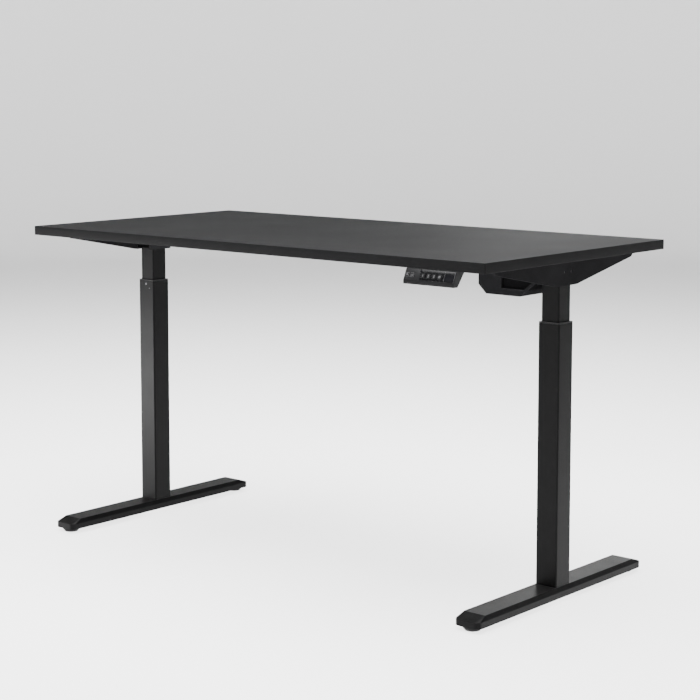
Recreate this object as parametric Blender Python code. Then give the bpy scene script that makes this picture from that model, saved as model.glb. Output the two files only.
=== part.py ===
"""Electric height adjustable desk: a laminated worktop on two telescopic legs with T feet.

One motor beside the right leg turns a hexagonal shaft under the worktop. The shaft drives
a bevel pair at the top of each leg, and each pair turns a lifting spindle in a fixed nut.
Units are metres, +Z is up and the user sits at -Y. The origin is on the floor, under the
middle of the worktop. The worktop stands part of the way up its travel.
"""

import math

import bmesh
import bpy
from mathutils import Matrix, Vector

# Fits
GAP = 0.0003                    # between pieces that touch
RUNNING = 0.0006                # round a turning or sliding piece
SHEET = 0.002                   # folded sheet steel

# Worktop
DESK_WIDTH = 1.400
DESK_DEPTH = 0.700
DESK_THICKNESS = 0.022
DESK_HEIGHT = 0.782             # worktop surface as modelled
DESK_CORNER = 0.003
EDGE_BAND = 0.001

# Travel
LIFT_DOWN = 0.070               # from the modelled height to the lowest
STOP_GAP = 0.0105               # left between head and collar at the lowest height
COLUMN_OVERLAP = 0.131          # tube left in tube at the highest
END_CLEARANCE = 0.008           # inner tube to foot at the lowest

# Columns
COLUMN_INSET = 0.0625           # column axis in from the end of the worktop
INNER_TUBE = 0.046
INNER_WALL = 0.0018
GUIDE = 0.0022                  # plastic between the tubes
OUTER_WALL = 0.002
TUBE_CORNER = 0.0035
COLLAR_RIM = 0.0025
COLLAR_DEPTH = 0.035
SLIDER_LENGTH = 0.040
TUBE_IN_HEAD = 0.0045

# Feet
FOOT_LENGTH = 0.646
FOOT_LEDGE = 0.0005             # foot's top beyond the column on each side
FOOT_FLARE = 0.005              # side bevel
FOOT_NOSE = 0.031               # end slope
FOOT_RISE = 0.014               # upright side
FOOT_SLOPE = 0.010              # height of the bevels
FOOT_CORNER = 0.014
FOOT_WALL = 0.0025
FLOOR_CLEARANCE = 0.010
BASE_PLATE = (0.110, 0.004)     # length, thickness

# Levelling glides
GLIDE_RADIUS = 0.022
GLIDE_SOLE = 0.017
GLIDE_INSET = 0.025             # glide axis in from the foot's end
GLIDE_PAD = 0.0095
GLIDE_SLANT = 0.0065             # height of the slanted side
GLIDE_EDGE = 0.001
STUD_RADIUS = 0.004
STUD_TOP = 0.030
BOSS_RADIUS = 0.009

# Side brackets
BRACKET_LENGTH = 0.551
BRACKET_FLAT = 0.079            # length of the deep middle
BRACKET_DEPTH = 0.0565
BRACKET_TIP = 0.0127            # depth at the ends
BRACKET_END_SLANT = 0.012
BRACKET_TOP_FLANGE = 0.030
BRACKET_LOWER_FLANGE = 0.012
BRACKET_SCREW_PITCH = 0.026
BRACKET_SCREW_OFFSET = 0.0044   # middle of the pair behind the column axis
BRACKET_SCREW_DROP = 0.0266
BRACKET_SCREW_HOLE = 0.0028

# Leg heads and crossbars
HEAD_PLATE = 0.0025
HEAD_LENGTH = 0.076
HEAD_SPREAD = 0.190             # along the plate that carries the crossbars
RAIL_Y = 0.075
RAIL_WIDTH = 0.025
RAIL_HEIGHT = 0.028
RAIL_WALL = 0.0015
RAIL_JOINT = -0.050             # where the right halves end
RAIL_OVERLAP = 0.300            # left halves inside the right ones
STUB_LENGTH = 0.060

# Drive
SHAFT_DROP = 0.029              # shaft axis below the worktop
SHAFT_RADIUS = 0.0046           # across the corners of the hexagon, halved
SHAFT_END = 0.004
BEVEL_RADIUS = 0.011
BEVEL_TEETH = 12
BEVEL_FACE = 0.004
BEVEL_HUB = (0.0075, 0.0045)    # radius, length
GEARBOX_LENGTH = 0.070
GEARBOX_FLOOR = 0.006
GEARBOX_WALL = 0.005
SPINDLE_RADIUS = 0.008
SPINDLE_TIP = 0.002             # chamfer at the lower end
JOURNAL_RADIUS = 0.005
NUT_TUBE_RADIUS = 0.014
NUT_TUBE_WALL = 0.003
NUT_RADIUS = 0.0125
NUT_FLANGE = 0.005
NUT_HEIGHT = 0.030
NUT_MARGIN = 0.020              # spindle left below the nut at the highest

# Motor
DRIVE_GEAR_TEETH = 24
PINION_TEETH = 12
DRIVE_GEAR_RADIUS = 0.019
TOOTH_TIP = 0.6                 # above the pitch circle, in modules
TOOTH_ROOT = 0.9                # below it
GEAR_FACE = 0.012
MOTOR_RADIUS = 0.0235
MOTOR_LENGTH = 0.068
MOTOR_WALL = 0.0025
ROTOR_RADIUS = 0.015
ROTOR_LENGTH = 0.045
ROTOR_SHAFT = 0.003
ROTOR_REAR = 0.006              # free room behind the rotor
ROTOR_TAIL = 0.004
ROTOR_NOSE = 0.002
GEARCASE_LENGTH = 0.0335
GEARCASE_WALL = 0.0025
COVER_WIDTH = 0.153
COVER_DEPTH = 0.0845            # below the worktop
COVER_HALF = 0.044
COVER_SHELL = 0.002
COVER_CHAMFER = (0.021, 0.0205)
COVER_SLANT = (0.040, 0.032)
COVER_RECESS = (0.063, 0.0145, 0.008)   # from the left end, above the bottom, deep
COVER_TOP_GAP = 0.003
MOTOR_END_GAP = 0.0015          # past the chamfer

# Control box
BOX_SIZE = (0.220, 0.110, 0.033)        # length, width, depth below the worktop
BOX_FROM_COVER = 0.0389                 # its right end to the motor cover
BOX_FROM_RAIL = 0.0175                  # its front to the rear crossbar
BOX_SHELL = 0.0022
BOX_LID = 0.0025
BOX_EAR = 0.012
INLET = (0.028, 0.012, 0.020)   # width, depth, height
INLET_WELL = 0.009
INLET_RIM = 0.003
INLET_FROM_REAR = 0.030         # inlet's middle from the box's rear
INLET_PIN = (0.002, 0.004, 0.006, 0.002)    # thickness, width, pitch, short of the face
BOARD_BLOCKS = (                # from the box's left end, length, width, height
    (0.035, 0.040, 0.040, 0.020),
    (0.085, 0.020, 0.050, 0.014),
    (0.130, 0.030, 0.022, 0.016),
)
BOX_LEADS = (0.060, 0.030)      # handset lead from the left end, motor lead from the front

# Handset
PAD_WIDTH = 0.132
PAD_INSET = 0.070               # from the worktop's right end
PAD_LEAN = (0.011, 0.0247)      # face runs forward and down by this much
PAD_LIP = 0.0073
PAD_SOLE = 0.0125
PAD_TOP = 0.026
PAD_SHELL = 0.002
PAD_BACK = 0.0018
PAD_EDGE = 0.0015               # round the handset's inner end walls
PAD_EXIT = 0.013                # lead's exit below the handset's top, along its back
PAD_LEAD = 0.036                # lead's exit from the handset's left end
BUTTON_TRAVEL = 0.001
BUTTON_PROUD = 0.0008
BUTTON_LENGTH = 0.0036
BUTTON_HEIGHT = 0.0095
BUTTON_ROW = 0.0125             # above the face's lower edge
BUTTONS = (                     # name, place along the face from its left end, width
    ("button_up", 0.0075, 0.0105),
    ("button_down", 0.0205, 0.0105),
    ("button_memory_1", 0.0480, 0.0095),
    ("button_memory_2", 0.0625, 0.0095),
    ("button_memory_3", 0.0770, 0.0095),
    ("button_store", 0.0915, 0.0095),
)
DISPLAY = (0.1150, 0.021, 0.014, 0.0025)    # middle from the left end, width, height, thickness
BOARD = 0.0016
BOARD_WIDTH = 0.016             # keypad board, up the face
PAD_CORNER = 0.0012
BACK_SEAT = 0.0024              # back plate's lower edge above the sole
BACK_RIDGE = 0.0052             # its upper edge below the crown
FACE_HEAD = 0.003               # face wall's thickening at the top

# Leads
HANDSET_LEAD = 0.0020           # radius
MOTOR_LEAD = 0.00225
POINT_SPACING = 2.6             # in diameters along a lead
HOLE_ROUND = 0.0010             # clearance round a lead
LEAD_ENTRY = 0.012              # leads enter the control box this far below the worktop
MOTOR_LEAD_EXIT = 0.014         # from the motor can's left end

# Roundness of turned pieces
ROUND = 24
SMALL_ROUND = 12
CORNER_STEPS = 4

# Worked out from the sizes above
UNDERSIDE = DESK_HEIGHT - DESK_THICKNESS
COLUMN_X = DESK_WIDTH / 2 - COLUMN_INSET
OUTER_TUBE = INNER_TUBE + 2 * (GUIDE + OUTER_WALL + GAP)
FOOT_TOP = FLOOR_CLEARANCE + FOOT_RISE + FOOT_SLOPE
HEAD_BOTTOM = UNDERSIDE - BRACKET_DEPTH
COLLAR_TOP = HEAD_BOTTOM - STOP_GAP - LIFT_DOWN
OUTER_TOP = COLLAR_TOP - COLLAR_RIM - GAP
INNER_BOTTOM = FOOT_TOP + END_CLEARANCE + LIFT_DOWN
INNER_TOP = HEAD_BOTTOM + TUBE_IN_HEAD
LIFT_UP = COLLAR_TOP - COLUMN_OVERLAP - INNER_BOTTOM
FLANGE_TOP = UNDERSIDE - GAP
HEAD_TOP = FLANGE_TOP - SHEET - GAP
HEAD_UNDER = HEAD_TOP - HEAD_PLATE
HEAD_INBOARD = COLUMN_X - INNER_TUBE / 2 - GAP - SHEET
HEAD_OUTBOARD = COLUMN_X + INNER_TUBE / 2 + GAP + SHEET
BRACKET_X = HEAD_OUTBOARD + GAP + SHEET
RAIL_TOP = HEAD_UNDER - GAP
RAIL_Z = RAIL_TOP - RAIL_HEIGHT / 2
RAIL_END = HEAD_INBOARD - GAP
SHAFT_Z = UNDERSIDE - SHAFT_DROP
SPINDLE_BOTTOM = INNER_BOTTOM + END_CLEARANCE
NUT_BOTTOM = SPINDLE_BOTTOM + LIFT_UP + NUT_MARGIN
BEVEL_BACK = SHAFT_Z - BEVEL_RADIUS
GEAR_MODULE = 2 * DRIVE_GEAR_RADIUS / DRIVE_GEAR_TEETH
PINION_RADIUS = GEAR_MODULE * PINION_TEETH / 2
MOTOR_Z = SHAFT_Z - DRIVE_GEAR_RADIUS - PINION_RADIUS
COVER_RIGHT = HEAD_INBOARD - GAP
COVER_LEFT = COVER_RIGHT - COVER_WIDTH
COVER_BOTTOM = UNDERSIDE - COVER_DEPTH
MOTOR_LEFT = COVER_LEFT + COVER_CHAMFER[0] + MOTOR_END_GAP
GEARCASE_LEFT = MOTOR_LEFT + MOTOR_LENGTH + GAP
GEARCASE_RIGHT = GEARCASE_LEFT + GEARCASE_LENGTH
GEAR_X = (GEARCASE_LEFT + GEARCASE_RIGHT) / 2
BOX_RIGHT = COVER_LEFT - BOX_FROM_COVER
BOX_X = (BOX_RIGHT - BOX_SIZE[0], BOX_RIGHT)
BOX_FRONT = RAIL_Y + RAIL_WIDTH / 2 + BOX_FROM_RAIL
BOX_Y = (BOX_FRONT, BOX_FRONT + BOX_SIZE[1])
PAD_RIGHT = DESK_WIDTH / 2 - PAD_INSET
PAD_LEFT = PAD_RIGHT - PAD_WIDTH
FACE_LENGTH = math.hypot(*PAD_LEAN)
FACE_OUT = Vector((0, -PAD_LEAN[1], PAD_LEAN[0])) / FACE_LENGTH
FACE_UP = Vector((0, PAD_LEAN[0], PAD_LEAN[1])) / FACE_LENGTH
FACE_FOOT = Vector((0, -DESK_DEPTH / 2 - PAD_LEAN[0], FLANGE_TOP - PAD_LEAN[1]))
GLIDE_Y = FOOT_LENGTH / 2 - GLIDE_INSET
SIDES = (("left", -1), ("right", 1))


# ---------------------------------------------------------------- materials

def finish(name, colour, roughness, metallic=0.0):
    material = bpy.data.materials.new(name)
    material.use_nodes = True
    shader = material.node_tree.nodes["Principled BSDF"]
    shader.inputs["Base Color"].default_value = (*colour, 1.0)
    shader.inputs["Roughness"].default_value = roughness
    shader.inputs["Metallic"].default_value = metallic
    return material


FINISHES = {
    "black_laminate": ((0.060, 0.060, 0.062), 0.55, 0.0),
    "black_edging": ((0.030, 0.030, 0.031), 0.50, 0.0),
    "black_powder_coat": ((0.025, 0.025, 0.026), 0.45, 0.3),
    "black_plastic": ((0.020, 0.020, 0.021), 0.50, 0.0),
    "button_plastic": ((0.045, 0.045, 0.048), 0.40, 0.0),
    "display_window": ((0.010, 0.010, 0.012), 0.10, 0.0),
    "rubber": ((0.030, 0.030, 0.030), 0.80, 0.0),
    "white_nylon": ((0.750, 0.740, 0.700), 0.45, 0.0),
    "bright_steel": ((0.620, 0.620, 0.630), 0.30, 1.0),
    "cast_aluminium": ((0.600, 0.610, 0.620), 0.45, 1.0),
    "circuit_board": ((0.030, 0.180, 0.080), 0.50, 0.0),
    "lead_jacket": ((0.015, 0.015, 0.015), 0.45, 0.0),
}


# ---------------------------------------------------------------- outlines

def circle(radius, steps=ROUND, phase=0.0):
    turn = math.tau / steps
    return [(radius * math.cos(i * turn + phase), radius * math.sin(i * turn + phase))
            for i in range(steps)]


def rounded_rectangle(width, depth, radius, steps=CORNER_STEPS):
    points = []
    for quarter, (x, y) in enumerate(((1, 1), (-1, 1), (-1, -1), (1, -1))):
        centre = (x * (width / 2 - radius), y * (depth / 2 - radius))
        for i in range(steps + 1):
            angle = (quarter + i / steps) * math.pi / 2
            points.append((centre[0] + radius * math.cos(angle), centre[1] + radius * math.sin(angle)))
    return points


def toothed(teeth, pitch_radius, tooth_at=0.0):
    """A gear's outline, four points a tooth, with backlash, one tooth at the angle given."""
    module = 2 * pitch_radius / teeth
    root, tip = pitch_radius - TOOTH_ROOT * module, pitch_radius + TOOTH_TIP * module
    foot_share, tip_share = 0.27, 0.13      # half widths, in tooth pitches
    turn = math.tau / teeth
    points = []
    for i in range(teeth):
        for radius, share in ((root, -foot_share), (tip, -tip_share), (tip, tip_share), (root, foot_share)):
            angle = tooth_at + (i + share) * turn
            points.append((radius * math.cos(angle), radius * math.sin(angle)))
    return points


def around(outline, radius):
    """A circle with one point for each of the outline's, at the same angles."""
    angles = [math.atan2(y, x) for x, y in outline]
    return [(radius * math.cos(a), radius * math.sin(a)) for a in angles]


# ---------------------------------------------------------------- meshes

def ring(outline, axis, at, centre=(0.0, 0.0)):
    """An outline's points in space, square to the axis: (Y, Z) on X, (X, Z) on Y, (X, Y) on Z."""
    points = []
    for u, v in outline:
        u, v = u + centre[0], v + centre[1]
        points.append({"X": (at, u, v), "Y": (u, at, v), "Z": (u, v, at)}[axis])
    return points


def skin(rings, closed=False):
    """A body through rings of equal count: capped at both ends, or running round on itself."""
    bm = bmesh.new()
    rows = [[bm.verts.new(p) for p in points] for points in rings]
    pairs = list(zip(rows, rows[1:]))
    if closed:
        pairs.append((rows[-1], rows[0]))
    else:
        bm.faces.new(rows[0])
        bm.faces.new(rows[-1])
    for low, high in pairs:
        for i in range(len(low)):
            j = (i + 1) % len(low)
            bm.faces.new((low[i], low[j], high[j], high[i]))
    bmesh.ops.recalc_face_normals(bm, faces=bm.faces)
    return bm


def box(low, high):
    bm = bmesh.new()
    bmesh.ops.create_cube(bm, size=1.0)
    low, high = Vector(low), Vector(high)
    size = Matrix.Diagonal((*(high - low), 1.0))
    bmesh.ops.transform(bm, matrix=Matrix.Translation((low + high) / 2) @ size, verts=bm.verts)
    return bm


def rod(radius, axis, low, high, centre, steps=SMALL_ROUND):
    return skin([ring(circle(radius, steps), axis, at, centre) for at in (low, high)])


def prism(outline, axis, low, high, centre=(0.0, 0.0)):
    return skin([ring(outline, axis, at, centre) for at in (low, high)])


def turned(profile, axis, centre, steps=ROUND, closed=False):
    """A turned body: (radius, place along the axis) pairs."""
    return skin([ring(circle(radius, steps), axis, at, centre) for radius, at in profile], closed)


def square_tube(outer, wall, corner, low, high, centre):
    outside = rounded_rectangle(outer, outer, corner)
    inside = rounded_rectangle(outer - 2 * wall, outer - 2 * wall, corner - wall / 2)
    return skin([ring(outside, "Z", low, centre), ring(outside, "Z", high, centre),
                 ring(inside, "Z", high, centre), ring(inside, "Z", low, centre)], closed=True)


def flat_tube(width, height, wall, low, high, centre):
    outside = rounded_rectangle(width, height, 2 * wall, 2)
    inside = rounded_rectangle(width - 2 * wall, height - 2 * wall, wall, 2)
    return skin([ring(outside, "X", low, centre), ring(outside, "X", high, centre),
                 ring(inside, "X", high, centre), ring(inside, "X", low, centre)], closed=True)


# ---------------------------------------------------------------- objects

def clear_scene():
    for thing in list(bpy.data.objects):
        bpy.data.objects.remove(thing, do_unlink=True)


def frame(name, at=(0, 0, 0), parent=None):
    """An empty that carries the pieces of one rigid body, on its joint's axis."""
    empty = bpy.data.objects.new(name, None)
    bpy.context.scene.collection.objects.link(empty)
    empty.parent = parent
    empty.location = Vector(at) - (parent.matrix_world.translation if parent else Vector())
    bpy.context.view_layer.update()
    return empty


def add(name, bm, body=None, finish_name=None):
    """A new object from a mesh drawn in place, with its origin moved to its body's."""
    origin = body.matrix_world.translation if body else Vector()
    bmesh.ops.translate(bm, verts=bm.verts, vec=-origin)
    mesh = bpy.data.meshes.new(name)
    bm.to_mesh(mesh)
    bm.free()
    thing = bpy.data.objects.new(name, mesh)
    bpy.context.scene.collection.objects.link(thing)
    thing.parent = body
    if finish_name:
        mesh.materials.append(finish(name, *FINISHES[finish_name]))
        mesh.shade_smooth()
        mesh.set_sharp_from_angle(angle=math.radians(30))
    return thing


def tool(bm, name="tool"):
    """A hidden body that another is cut or joined with."""
    thing = add(name, bm)
    thing.hide_render = True
    thing.display_type = "WIRE"
    return thing


def boolean(thing, operation, bodies):
    for bm in bodies:
        other = bm if isinstance(bm, bpy.types.Object) else tool(bm)
        modifier = thing.modifiers.new(operation.lower(), "BOOLEAN")
        modifier.operation = operation
        modifier.object = other
    return thing


def cut(thing, *bodies):
    return boolean(thing, "DIFFERENCE", bodies)


def join(thing, *bodies):
    return boolean(thing, "UNION", bodies)


# ---------------------------------------------------------------- standing part

def foot(body, name, x):
    half = OUTER_TUBE / 2 + FOOT_LEDGE
    wide, long = 2 * (half + FOOT_FLARE), FOOT_LENGTH
    belt = FLOOR_CLEARANCE + FOOT_RISE
    corner = (x, 0)

    def shell_rings(inset, bottom):
        base = rounded_rectangle(wide - 2 * inset, long - 2 * inset, FOOT_CORNER - inset / 2)
        top = rounded_rectangle(2 * half - 2 * inset, long - 2 * FOOT_NOSE - 2 * inset, TUBE_CORNER / 2)
        return [ring(base, "Z", bottom, corner), ring(base, "Z", belt - inset / 2, corner),
                ring(top, "Z", FOOT_TOP - inset, corner)]

    hollow = tool(skin(shell_rings(FOOT_WALL, FLOOR_CLEARANCE - FOOT_WALL)))
    piece = add(name, skin(shell_rings(0.0, FLOOR_CLEARANCE)), body, "black_powder_coat")
    for y in (-GLIDE_Y, GLIDE_Y):
        cut(hollow, rod(BOSS_RADIUS, "Z", 0, FOOT_TOP, (x, y), ROUND))
    cut(piece, hollow)
    for y in (-GLIDE_Y, GLIDE_Y):
        cut(piece, rod(BOSS_RADIUS + GAP, "Z", 0, GLIDE_PAD + GAP, (x, y), ROUND))
        cut(piece, rod(STUD_RADIUS + GAP, "Z", 0, STUD_TOP + GAP, (x, y)))


def base_plate(body, name, x):
    length, thickness = BASE_PLATE
    top = FOOT_TOP - FOOT_WALL - GAP
    width = OUTER_TUBE - 2 * FOOT_WALL - 2 * GAP
    add(name, box((x - width / 2, -length / 2, top - thickness), (x + width / 2, length / 2, top)),
        body, "bright_steel")


def outer_tube(body, name, x):
    add(name, square_tube(OUTER_TUBE, OUTER_WALL, TUBE_CORNER, FOOT_TOP + GAP, OUTER_TOP, (x, 0)),
        body, "black_powder_coat")


def guide_collar(body, name, x):
    bore = INNER_TUBE + 2 * GAP
    sleeve = OUTER_TUBE - 2 * OUTER_WALL - 2 * GAP
    steps = ((sleeve, OUTER_TOP - COLLAR_DEPTH), (sleeve, OUTER_TOP + GAP), (OUTER_TUBE, OUTER_TOP + GAP),
             (OUTER_TUBE, COLLAR_TOP), (bore, COLLAR_TOP), (bore, OUTER_TOP - COLLAR_DEPTH))
    rings = []
    for width, z in steps:
        radius = TUBE_CORNER if width == OUTER_TUBE else TUBE_CORNER - OUTER_WALL / 2
        rings.append(ring(rounded_rectangle(width, width, radius), "Z", z, (x, 0)))
    add(name, skin(rings, closed=True), body, "black_plastic")


def nut_tube(body, name, x):
    inside = NUT_TUBE_RADIUS - NUT_TUBE_WALL
    low, high = FOOT_TOP + GAP, NUT_BOTTOM - GAP
    add(name, turned(((NUT_TUBE_RADIUS, low), (NUT_TUBE_RADIUS, high), (inside, high), (inside, low)),
                     "Z", (x, 0), closed=True), body, "bright_steel")


def spindle_nut(body, name, x):
    bore, flange = SPINDLE_RADIUS + GAP, NUT_BOTTOM + NUT_FLANGE
    top = NUT_BOTTOM + NUT_HEIGHT
    profile = ((NUT_TUBE_RADIUS, NUT_BOTTOM), (NUT_TUBE_RADIUS, flange), (NUT_RADIUS, flange),
               (NUT_RADIUS, top), (bore, top), (bore, NUT_BOTTOM))
    add(name, turned(profile, "Z", (x, 0), closed=True), body, "white_nylon")


def levelling_glide(base, name, x, y):
    body = frame(name + "_axis", (x, y, 0), base)
    profile = ((GLIDE_SOLE, 0), (GLIDE_RADIUS, GLIDE_SLANT), (GLIDE_RADIUS, GLIDE_PAD - GLIDE_EDGE),
               (GLIDE_RADIUS - GLIDE_EDGE, GLIDE_PAD), (STUD_RADIUS, GLIDE_PAD), (STUD_RADIUS, STUD_TOP))
    add(name, turned(profile, "Z", (x, y)), body, "rubber")


# ---------------------------------------------------------------- lifting part

def worktop(body):
    inset = EDGE_BAND + GAP
    core = rounded_rectangle(DESK_WIDTH - 2 * inset, DESK_DEPTH - 2 * inset, DESK_CORNER - EDGE_BAND)
    outside = rounded_rectangle(DESK_WIDTH, DESK_DEPTH, DESK_CORNER)
    inside = rounded_rectangle(DESK_WIDTH - 2 * EDGE_BAND, DESK_DEPTH - 2 * EDGE_BAND,
                               DESK_CORNER - EDGE_BAND)
    add("desktop", prism(core, "Z", UNDERSIDE, DESK_HEIGHT), body, "black_laminate")
    add("edge_band", skin([ring(outside, "Z", UNDERSIDE), ring(outside, "Z", DESK_HEIGHT),
                           ring(inside, "Z", DESK_HEIGHT), ring(inside, "Z", UNDERSIDE)], closed=True),
        body, "black_edging")


def screw_places():
    for step in (-0.5, 0.5):
        yield BRACKET_SCREW_OFFSET + step * BRACKET_SCREW_PITCH, UNDERSIDE - BRACKET_SCREW_DROP


def screw_holes(side):
    return [rod(BRACKET_SCREW_HOLE, "X", side * COLUMN_X, side * (BRACKET_X + SHEET), place)
            for place in screw_places()]


def side_bracket(body, name, side):
    """A folded channel: an upright panel, a flange under the worktop and two sloping ones below."""
    flat, tip, end = BRACKET_FLAT / 2, BRACKET_LENGTH / 2 - BRACKET_END_SLANT, BRACKET_LENGTH / 2
    low, shoulder = UNDERSIDE - BRACKET_DEPTH, UNDERSIDE - BRACKET_TIP
    outline = ((-flat, low), (flat, low), (tip, shoulder), (end, FLANGE_TOP),
               (-end, FLANGE_TOP), (-tip, shoulder))
    outer = side * BRACKET_X

    def inboard(width):
        return sorted((outer, side * (BRACKET_X - width)))

    slope = Vector((tip - flat, shoulder - low)).normalized() * SHEET
    lower = ((flat, low), (tip, shoulder), (tip - slope.y, shoulder + slope.x),
             (flat - slope.y, low + slope.x))
    top_in, top_out = inboard(BRACKET_TOP_FLANGE)
    piece = add(name, prism(outline, "X", *inboard(SHEET)), body, "black_powder_coat")
    join(piece, box((top_in, -end, FLANGE_TOP - SHEET), (top_out, end, FLANGE_TOP)),
         prism(lower, "X", *inboard(BRACKET_LOWER_FLANGE)),
         prism([(-y, z) for y, z in lower], "X", *inboard(BRACKET_LOWER_FLANGE)))
    cut(piece, *screw_holes(side))


def leg_head(body, name, side, stub):
    """The welded steel head on the inner tube. It holds the gearbox and carries the crossbars."""
    def slab(x0, x1, half, z0, z1):
        low, high = sorted((side * x0, side * x1))
        return box((low, -half, z0), (high, half, z1))

    half, spread = HEAD_LENGTH / 2, HEAD_SPREAD / 2
    piece = add(name, slab(HEAD_INBOARD, HEAD_OUTBOARD, spread, HEAD_UNDER, HEAD_TOP), body,
                "black_powder_coat")
    parts = [slab(HEAD_INBOARD, HEAD_INBOARD + SHEET, half, HEAD_BOTTOM, HEAD_TOP - GAP),
             slab(HEAD_OUTBOARD - SHEET, HEAD_OUTBOARD, half, HEAD_BOTTOM, HEAD_TOP - GAP),
             slab(HEAD_INBOARD, HEAD_INBOARD + SHEET, spread, RAIL_Z - RAIL_HEIGHT / 2, HEAD_TOP - 2 * GAP)]
    width, height = stub
    for y in (-RAIL_Y, RAIL_Y):
        low, high = sorted((side * (HEAD_INBOARD - STUB_LENGTH), side * (HEAD_INBOARD + SHEET / 2)))
        parts.append(box((low, y - width / 2, RAIL_Z - height / 2),
                         (high, y + width / 2, RAIL_Z + height / 2)))
    join(piece, *parts)
    low, high = sorted((side * (HEAD_INBOARD - SHEET), side * COLUMN_X))
    cut(piece, rod(SHAFT_RADIUS + 2 * RUNNING, "X", low, high, (0, SHAFT_Z)), *screw_holes(side))


def gearbox(body, name, x):
    half, long = INNER_TUBE / 2, GEARBOX_LENGTH / 2
    low, high = INNER_TOP + GAP, HEAD_UNDER - GAP
    room = BEVEL_RADIUS + GEARBOX_WALL + RUNNING
    inboard = -1 if x > 0 else 1
    piece = add(name, box((x - half, -long, low), (x + half, long, high)), body, "cast_aluminium")
    start, end = sorted((x, x + inboard * (half + GEARBOX_WALL)))
    cut(piece, box((x - room, -room, low + GEARBOX_FLOOR), (x + room, room, high - GEARBOX_WALL)),
        rod(JOURNAL_RADIUS + RUNNING, "Z", low - GEARBOX_FLOOR, SHAFT_Z, (x, 0)),
        rod(SHAFT_RADIUS + 2 * RUNNING, "X", start, end, (0, SHAFT_Z)))


def inner_tube(body, name, x):
    add(name, square_tube(INNER_TUBE, INNER_WALL, TUBE_CORNER, INNER_BOTTOM, INNER_TOP, (x, 0)),
        body, "black_powder_coat")


def inner_slider(body, name, x):
    """The plastic shoe round the lower end of the inner tube."""
    outer = OUTER_TUBE - 2 * OUTER_WALL - 2 * GAP
    bore = INNER_TUBE + 2 * GAP
    outside = rounded_rectangle(outer, outer, TUBE_CORNER - OUTER_WALL / 2)
    inside = rounded_rectangle(bore, bore, TUBE_CORNER)
    low, high = INNER_BOTTOM, INNER_BOTTOM + SLIDER_LENGTH
    add(name, skin([ring(outside, "Z", low, (x, 0)), ring(outside, "Z", high, (x, 0)),
                    ring(inside, "Z", high, (x, 0)), ring(inside, "Z", low, (x, 0))], closed=True),
        body, "white_nylon")


def crossbars(body):
    """Two telescoping rails. The left half of each slides in the right half and is screwed up."""
    narrow = (RAIL_WIDTH - 2 * (RAIL_WALL + GAP), RAIL_HEIGHT - 2 * (RAIL_WALL + GAP))
    for place, y in (("front", -RAIL_Y), ("rear", RAIL_Y)):
        add(f"crossbar_{place}_right",
            flat_tube(RAIL_WIDTH, RAIL_HEIGHT, RAIL_WALL, RAIL_JOINT, RAIL_END, (y, RAIL_Z)),
            body, "black_powder_coat")
        add(f"crossbar_{place}_left",
            flat_tube(*narrow, RAIL_WALL, -RAIL_END, RAIL_JOINT + RAIL_OVERLAP, (y, RAIL_Z)),
            body, "black_powder_coat")
    return {1: narrow, -1: tuple(size - 2 * (RAIL_WALL + GAP) for size in narrow)}


# ---------------------------------------------------------------- drive

def bevel_wheel(axis, back, centre, tooth_at):
    """A bevel wheel whose cone points along +axis to its apex, one pitch radius past its back."""
    outline = toothed(BEVEL_TEETH, BEVEL_RADIUS, tooth_at)
    share = (BEVEL_RADIUS - BEVEL_FACE) / BEVEL_RADIUS
    small = [(u * share, v * share) for u, v in outline]
    hub_radius, hub = BEVEL_HUB
    bore = (JOURNAL_RADIUS if axis == "Z" else SHAFT_RADIUS) + GAP
    face = back + BEVEL_FACE
    steps = ((around(outline, hub_radius), back - hub), (around(outline, hub_radius), back),
             (outline, back), (small, face), (around(outline, bore), face),
             (around(outline, bore), back - hub))
    return skin([ring(points, axis, at, centre) for points, at in steps], closed=True)


def spindle(lift, side_name, x):
    body = frame(f"spindle_{side_name}_axis", (x, 0, SHAFT_Z), lift)
    shoulder = INNER_TOP - GAP
    end = BEVEL_BACK + BEVEL_FACE
    profile = ((SPINDLE_RADIUS - SPINDLE_TIP, SPINDLE_BOTTOM),
               (SPINDLE_RADIUS, SPINDLE_BOTTOM + SPINDLE_TIP),
               (SPINDLE_RADIUS, shoulder),
               (JOURNAL_RADIUS, shoulder), (JOURNAL_RADIUS, end))
    add(f"spindle_{side_name}", turned(profile, "Z", (x, 0), ROUND), body, "bright_steel")
    add(f"spindle_bevel_{side_name}", bevel_wheel("Z", BEVEL_BACK, (x, 0), math.pi), body, "bright_steel")


def drive_shaft(lift):
    body = frame("drive_shaft_axis", (0, 0, SHAFT_Z), lift)
    axis = (0, SHAFT_Z)
    backs = {"left": -COLUMN_X - BEVEL_RADIUS, "right": COLUMN_X - BEVEL_RADIUS}
    start, end = backs["left"] - SHAFT_END, backs["right"] + BEVEL_FACE
    add("hex_drive_shaft", prism(circle(SHAFT_RADIUS, 6), "X", start, end, axis), body, "bright_steel")
    half_tooth = math.pi / BEVEL_TEETH
    for name, back in backs.items():
        add(f"shaft_bevel_{name}", bevel_wheel("X", back, axis, half_tooth - math.pi / 2),
            body, "bright_steel")
    outline = toothed(DRIVE_GEAR_TEETH, DRIVE_GEAR_RADIUS, -math.pi / 2)
    bore = around(outline, SHAFT_RADIUS + GAP)
    steps = ((outline, -0.5), (outline, 0.5), (bore, 0.5), (bore, -0.5))
    add("drive_gear", skin([ring(points, "X", GEAR_X + share * GEAR_FACE, axis) for points, share in steps],
                           closed=True), body, "white_nylon")


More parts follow.
